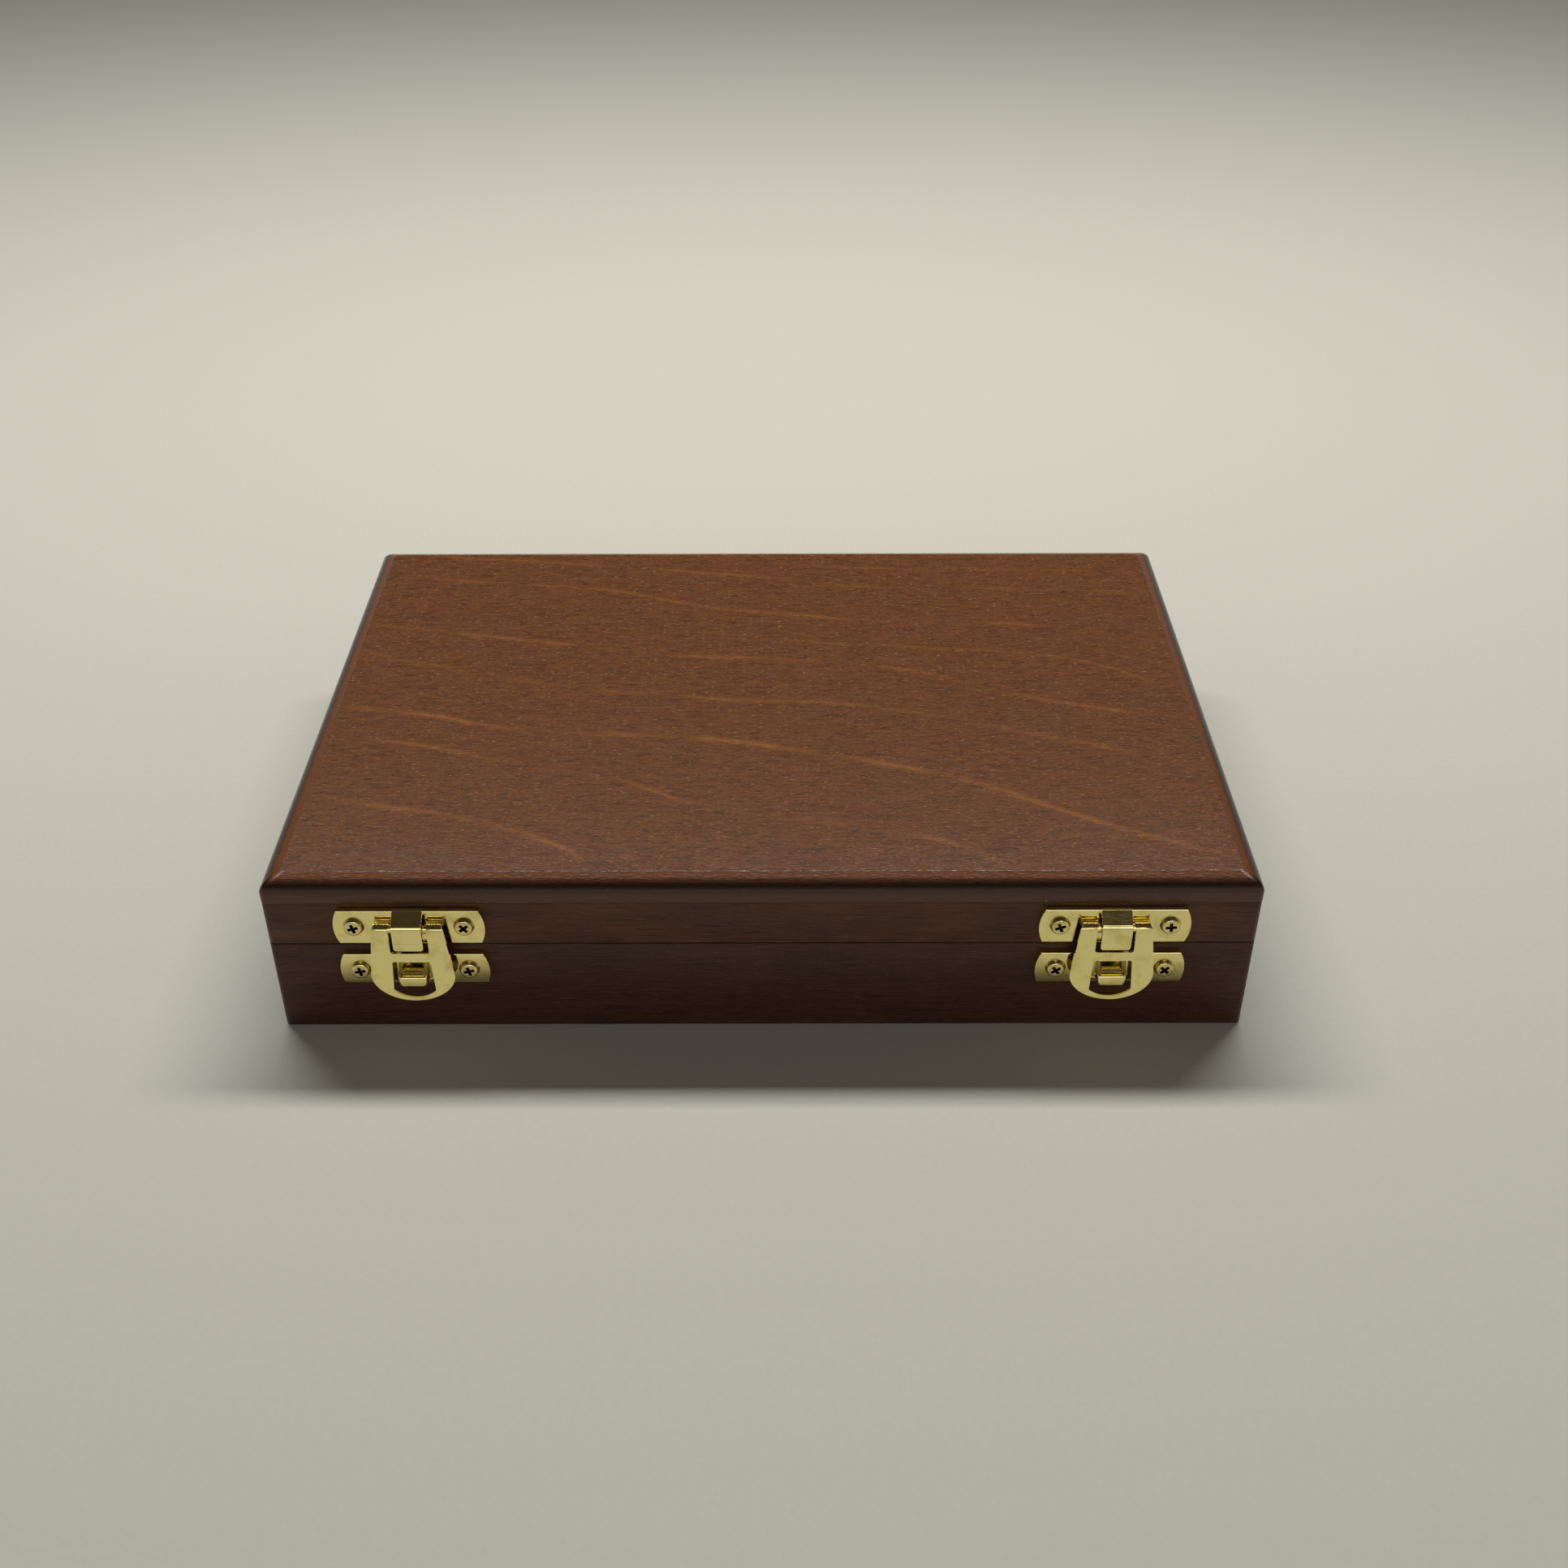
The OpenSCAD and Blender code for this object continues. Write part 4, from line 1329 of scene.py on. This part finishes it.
@dataclass
class Pad:
    """A pad of wadding under cloth, glued down round its edge and swollen between.

    The cloth starts flat at the height of its edge and swells to its crown. The pad stands on its seat.
    """

    node: str
    cloth: str
    part: Part
    slot: Slot
    fill: float
    half_x: float
    half_y: float
    seat: float
    edge: float
    crown: float
    pressure: float
    slack: float
    tufts: tuple[tuple[float, float], ...] = ()
    tuft_r: float = 1.6 * MM
    tuck: float = 0.8 * MM
    cells: tuple[int, int] = (104, 70)
    frames: int = 20
    shade_angle: float = 60

    @property
    def up(self) -> int:
        """1 if the pad swells upwards, -1 if downwards."""
        return 1 if self.crown > self.seat else -1

    def build(self, finish: Material) -> None:
        """Builds the pad.

        Args:
            finish: Its cloth.
        """
        Bench.clear()
        bpy.ops.mesh.primitive_grid_add(
            x_subdivisions=self.cells[0],
            y_subdivisions=self.cells[1],
            size=1,
            location=(0, 0, self.edge),
        )
        wide, deep = 2 * (self.half_x - self.tuck), 2 * (self.half_y - self.tuck)
        bpy.ops.transform.resize(value=(wide, deep, 1))
        pad = Bench.settle(f"{self.node}_{self.cloth}")
        held = [v.index for v in pad.data.vertices if self.is_held(v.co)]
        pad.vertex_groups.new(name="held").add(held, 1.0, "REPLACE")
        self.swell(pad)
        with Bench.editing(pad):
            bpy.ops.mesh.select_mode(type="EDGE")
            bpy.ops.mesh.select_all(action="SELECT")
            bpy.ops.mesh.region_to_loop()
            for move, spread in ((0.25, 0.75), (0.75, 0.25)):
                Bench.pull((0, 0, -self.up * self.tuck * move))
                out = self.tuck * spread
                Bench.scale((1 + out / self.half_x, 1 + out / self.half_y, 1))
            Bench.pull((0, 0, self.seat - self.edge + self.up * self.tuck))
            bpy.ops.mesh.edge_face_add()
        Bench.smooth(pad, self.shade_angle)
        hand_over(pad, self.part, finish, self.node)

    def is_held(self, point: Vector) -> bool:
        """Whether the cloth is held at a point, by the glue round its edge or by a tuft."""
        inside = self.tuck + SPECK
        if abs(point.x) > self.half_x - inside or abs(point.y) > self.half_y - inside:
            return True
        return any((point.xy - Vector(tuft)).length < self.tuft_r for tuft in self.tufts)

    def swell(self, pad: Piece) -> None:
        """Lets air pressure raise the cloth between its held points, up to the height of the crown."""
        if self.up < 0:
            with Bench.editing(pad):
                bpy.ops.mesh.select_all(action="SELECT")
                bpy.ops.mesh.flip_normals()
        cloth = pad.modifiers.new("Cloth", "CLOTH")
        for key, value in {
            "quality": 4,
            "mass": 0.2,
            "tension_stiffness": 6,
            "compression_stiffness": 6,
            "bending_stiffness": 0.2,
            "shrink_min": -self.slack,
            "use_pressure": True,
            "uniform_pressure_force": self.pressure,
            "vertex_group_mass": "held",
        }.items():
            setattr(cloth.settings, key, value)
        cloth.settings.effector_weights.gravity = 0
        cloth.point_cache.frame_start, cloth.point_cache.frame_end = 1, self.frames
        for frame_number in range(1, self.frames + 1):
            bpy.context.scene.frame_set(frame_number)
        Bench.take(pad)
        bpy.ops.object.modifier_apply(modifier="Cloth")
        bpy.context.scene.frame_set(1)
        rise = abs(self.crown - self.edge)
        for vertex in pad.data.vertices:
            lift = max(self.up * (vertex.co.z - self.edge), 0)
            vertex.co.z = self.edge + self.up * rise * (1 - math.exp(-lift / rise))
        LOG.info("%s swelled", pad.name)


# Stage


@dataclass(frozen=True)
class Lamp:
    """An area lamp that looks at the origin; a card lights the brass alone."""

    name: str
    place: Triple
    size: tuple[float, float]
    power: float
    is_card: bool

    def build(self) -> None:
        """Adds the lamp."""
        Bench.clear()
        bpy.ops.object.light_add(type="AREA", location=self.place)
        lamp = bpy.context.active_object
        lamp.name = self.name
        lamp.data.shape = "RECTANGLE"
        lamp.data.size, lamp.data.size_y = self.size
        lamp.data.energy = self.power
        lamp.visible_diffuse = not self.is_card
        lamp.rotation_euler = (-lamp.location).to_track_quat("-Z", "Y").to_euler()


@dataclass
class Studio:
    """A pale floor, a strip lamp behind and above the case, two weak cards in front, and a dim room."""

    floor_tint: str = "#c7c5b8"
    floor_size: float = 6.0
    lamps: tuple[Lamp, ...] = (
        Lamp("strip_lamp", (0.0, 0.44, 0.9), (1.2, 0.13), 11.6, False),
        Lamp("small_box", (0.38, -0.8, 1.33), (0.45, 0.3), 0.8, True),
        Lamp("pale_card", (0.0, -1.35, 0.55), (1.1, 0.5), 2.4, True),
    )
    room_tint: str = "#3c352d"
    room_lit: tuple[float, float, float, float] = (0.42, 0.42, 0.4074, 1.0)
    lens: float = 41.467
    camera_place: Triple = (0.005, -0.4033, 0.2985)
    camera_tilt: float = 54.77
    camera_yaw: float = -0.02
    camera_roll: float = -0.09

    def build(self) -> None:
        """Builds the floor, the lamps, the room and the camera."""
        bpy.context.scene.view_settings.view_transform = "Standard"
        self.floor()
        for lamp in self.lamps:
            lamp.build()
        self.room()
        self.camera()

    def floor(self) -> None:
        """Lays the pale matt paper of the floor."""
        Bench.clear()
        bpy.ops.mesh.primitive_grid_add(x_subdivisions=24, y_subdivisions=24, size=self.floor_size)
        floor = Bench.settle("floor")
        recipe = Recipe("matt_paper")
        # The paper's tooth is drawn at 1.5 mm
        tooth = recipe.add("TexNoise", {"Vector": recipe.place, "Scale": 1 / (1.5 * MM), "Detail": 2.0})
        tone = recipe.add("MapRange", (tooth, 0.3, 0.7, 0.985, 1.015))
        tints = {MIX_FACTOR: 1.0, MIX_A: self.floor_tint, MIX_B: tone}
        colour = recipe.add("Mix", tints, data_type="RGBA", blend_type="MULTIPLY")
        floor.data.materials.append(recipe.finish(Roughness=0.9, IOR=1.4, Base_Color=colour))

    def flag_cards(self, metal: list[Piece]) -> None:
        """Keeps the cards' light off everything but the metal, as black flags do in a studio."""
        lit = bpy.data.collections.new("metal")
        for piece in metal:
            lit.objects.link(piece)
        for lamp in self.lamps:
            if lamp.is_card:
                bpy.data.objects[lamp.name].light_linking.receiver_collection = lit

    def room(self) -> None:
        """Lights the room: dim overhead and behind, brighter low down in front and at the horizon."""
        world = bpy.data.worlds.new("room")
        bpy.context.scene.world = world
        world.use_nodes = True
        tree = world.node_tree
        way = add_node(tree, "TexCoord", ()).outputs["Generated"]
        way = add_node(tree, "SeparateXYZ", (way,)).outputs
        near = add_node(tree, "MapRange", (way["Y"], -0.4, 0.0, 1.0, 0.0))
        low = add_node(tree, "MapRange", (way["Z"], 0.5, 0.8, 1.0, 0.0))
        shown = add_node(tree, "Math", (near, low), operation="MULTIPLY")
        horizon = add_node(tree, "MapRange", (way["Z"], 0.12, 0.3, 1.0, 0.0))
        shown = add_node(tree, "Math", (shown, horizon), operation="MAXIMUM")
        tints = {MIX_FACTOR: shown, MIX_A: self.room_tint, MIX_B: self.room_lit}
        light = add_node(tree, "Mix", tints, data_type="RGBA")
        plug(tree, light, tree.nodes["Background"].inputs["Color"])

    def camera(self) -> None:
        """Sets up the camera, a little above the case and in front of it."""
        bpy.ops.object.camera_add()
        camera = bpy.context.active_object
        camera.data.lens = self.lens
        camera.matrix_world = (
            Matrix.Translation(self.camera_place)
            @ Matrix.Rotation(math.radians(self.camera_yaw), 4, "Z")
            @ Matrix.Rotation(math.radians(self.camera_tilt), 4, "X")
            @ Matrix.Rotation(math.radians(self.camera_roll), 4, "Z")
        )
        bpy.context.scene.camera = camera


# The case

# Stain clouds, then long soft fibres, then dark pores, then pale flecks
FRAME_MARKS = (
    Marks(26, 9, "#3b211a", 0.5, 0.42, 0.62),
    Marks(40, 1.3, "#5a3a28", 0.35, 0.5, 0.7),
    Marks(9, 0.28, "#1d0f0a", 0.75, 0.5, 0.72, 3.0),
    Marks(3, 0.22, "#8a6a52", 0.4, 0.6, 0.78),
)
# Two sizes of stain clouds, then long fibres, then mottle, then dark pores, then pale flecks, which are
# partly the wood's own and partly painted glints of the lacquer
TOP_MARKS = (
    Marks(30, 15, "#6b3a24", 0.4, 0.42, 0.66),
    Marks(18, 8, "#57402c", 0.25, 0.5, 0.7),
    Marks(22, 0.5, "#7c4d2c", 0.4, 0.48, 0.7, 3.0),
    Marks(4.5, 1.1, "#45240f", 0.45, 0.48, 0.68, 3.0),
    Marks(2.4, 0.28, "#241108", 0.7, 0.53, 0.7),
    Marks(1.6, 0.34, "#b8906c", 0.7, 0.61, 0.76),
)
FIGURE = (
    FigureLine(1.17, 0.35, (
        (-100, 76), (-57, 71), (-22, 66), (2, 62), (27, 57), (60, 56), (85, 55), (108, 53),
    )),
    FigureLine(1.43, 0.45, (
        (-110, 63), (-65, 58), (-45, 55), (-28, 49), (-12, 44), (8, 41), (32, 36.5), (60, 36), (73, 35),
        (93, 30), (110, 26),
    )),
    FigureLine(1.43, 0.5, (
        (-111, 36), (-82, 30), (-48, 23.5), (-27, 19), (-7, 17.5), (17, 15), (32, 12.5), (48, 7.5), (60, 1),
        (77, -5), (97, -10.5),
    )),
    FigureLine(1.43, 0.45, (
        (-110, 22), (-100, 17), (-85, 12.5), (-75, 7.5), (-60, 5), (-43, 1), (-22, -2), (-7, -4), (22, -6),
        (47, -12.5), (65, -19), (85, -25.5), (93, -29),
    )),
    FigureLine(1.04, 0.35, (
        (-15, 31), (2, 27.5), (27, 24), (60, 21), (80, 17.5), (93, 12), (103, 5), (110, 2.5),
    )),
    FigureLine(1.82, 0.6, (
        (-110, -7), (-90, -10), (-65, -17.5), (-40, -20), (-15, -22), (0, -25), (18, -30), (35, -35),
        (52, -41.5), (65, -49), (85, -60.5), (107, -70),
    )),
    FigureLine(1.56, 0.5, (
        (-110, -21.5), (-90, -24), (-65, -32), (-48, -36.5), (-32, -42), (-17, -50), (2, -55), (27, -60.5),
        (43, -65.5), (58, -76),
    )),
    FigureLine(1.82, 0.6, (
        (-110, -47), (-90, -51.5), (-68, -57), (-55, -63), (-42, -71.5), (-40, -77),
    )),
    FigureLine(1.04, 0.3, (
        (-15, 75), (10, 70), (43, 67.5), (77, 67), (110, 65),
    )),
)
# Below each height in mm, the colour of the layer and how much of it shows; the two darkest bands are
# partly the end grain's stain and partly painted shade of the rounding
EDGE_STAIN_AND_SHADE = (
    (43.3, "#69370d", 0.9),
    (42.8, "#341b0d", 0.85),
    (42.3, "#180c06", 0.8),
    (41.2, "#532e17", 0.9),
)
UPPER_SCREW_Z = 32.5 * MM
LOWER_SCREW_Z = 19.6 * MM
STRIP_TOP = 24 * MM
STRIP_T = 2 * MM
TUFTS = tuple((x * 52 * MM, y * 34 * MM) for x in (-1, 0, 1) for y in (-1, 0, 1))


class Case:
    """The whole case, in the order in which it is put together."""

    def boards(self) -> None:
        """Builds the base, the lid's frame and the top, and finishes the floor."""
        for name, board, part, bottom, top, stain in (
            ("base", "board", Part.BASE, 0.0, PARTING_Z, "#4d2b1e"),
            ("lid", "rail", Part.LID, PARTING_Z, FRAME_TOP_Z, "#603a27"),
        ):
            woods = [
                RailWood(f"stained_birch_{name}_{grain.name.lower()}", stain, grain, FRAME_MARKS).build()
                for grain in Grain
            ]
            BoardFrame(name, board, part, bottom, top, rebated=part is Part.BASE).build(*woods)
        veneer = TopVeneer(
            "stained_birch_veneer",
            "#673c1c",
            Grain.ALONG_X,
            TOP_MARKS,
            roughness=0.25,
            gloss=0.5,
            lines=FIGURE,
            stain_and_shade_bands=EDGE_STAIN_AND_SHADE,
        )
        TopPanel().build(veneer.build())
        dress_nodes(("floor_panel",), BirchPly().build())

    def fittings(self) -> None:
        """Builds the latches and their screws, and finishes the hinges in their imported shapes."""
        plated = Brass("polished_brass_plate", "#f0e29b", "#c9b264", 0.1).build()
        screw = Brass("brass_plated_screw", "#e4d290", "#b39a55", 0.14, 0.8, 0.2).build()
        brushed = Brass("brushed_brass", "#d9c27e", "#a98f4d", 0.34, 6.0, 0.25).build()
        Latch("left", Part.LEVER_LEFT, -LATCH_X).build(plated)
        Latch("right", Part.LEVER_RIGHT, LATCH_X).build(plated)
        LatchScrews("upper_latch_screws", Part.LID, UPPER_SCREW_Z, (15, 40, 20, 5)).build(screw)
        LatchScrews("lower_latch_screws", Part.BASE, LOWER_SCREW_Z, (10, 15, 35, 45)).build(screw)
        hinge_parts = ("base_hinge_leaf", "lid_hinge_leaf", "hinge_pin")
        hinges = tuple(f"{name}_{side}" for name in hinge_parts for side in ("left", "right"))
        dress_nodes(hinges, brushed)
        dress_nodes(("base_hinge_screws", "lid_hinge_screws"), screw)

    def lining(self) -> None:
        """Builds the velvet strips and pad in the base, and the satin pad in the lid."""
        velvet = Velvet("navy_velvet", "#1a2340", "#202b4b").build()
        satin = Satin("ivory_satin", "#eadfc6", "#dacdad").build()
        inner_y = INNER_Y - STRIP_T
        for side, low, high in (
            ("front", (-INNER_X, -INNER_Y), (INNER_X, -inner_y)),
            ("back", (-INNER_X, inner_y), (INNER_X, INNER_Y)),
            ("left", (-INNER_X, -inner_y), (STRIP_T - INNER_X, inner_y)),
            ("right", (INNER_X - STRIP_T, -inner_y), (INNER_X, inner_y)),
        ):
            LiningStrip(side, (*low, FLOOR_T), (*high, STRIP_TOP)).build(velvet)
        Pad(
            "floor_pad",
            "velvet",
            Part.BASE,
            Slot.VELVET,
            fill=0.8,
            half_x=102.7 * MM,
            half_y=68.7 * MM,
            seat=FLOOR_T,
            edge=7.6 * MM,
            crown=9 * MM,
            pressure=1.5,
            slack=0.004,
        ).build(velvet)
        Pad(
            "lid_pad",
            "satin",
            Part.LID,
            Slot.SATIN,
            fill=0.6,
            half_x=104.7 * MM,
            half_y=70.7 * MM,
            seat=FRAME_TOP_Z,
            edge=34.6 * MM,
            crown=31.5 * MM,
            pressure=4.0,
            slack=0.03,
            tufts=TUFTS,
        ).build(satin)


def main() -> None:
    logging.basicConfig(level=logging.INFO, format="%(name)s: %(message)s")
    studio = Studio()
    studio.build()
    case = Case()
    case.boards()
    case.fittings()
    case.lining()
    studio.flag_cards([piece for piece in bpy.data.objects if piece.name.endswith("_brass")])


if __name__ == "__main__":
    main()
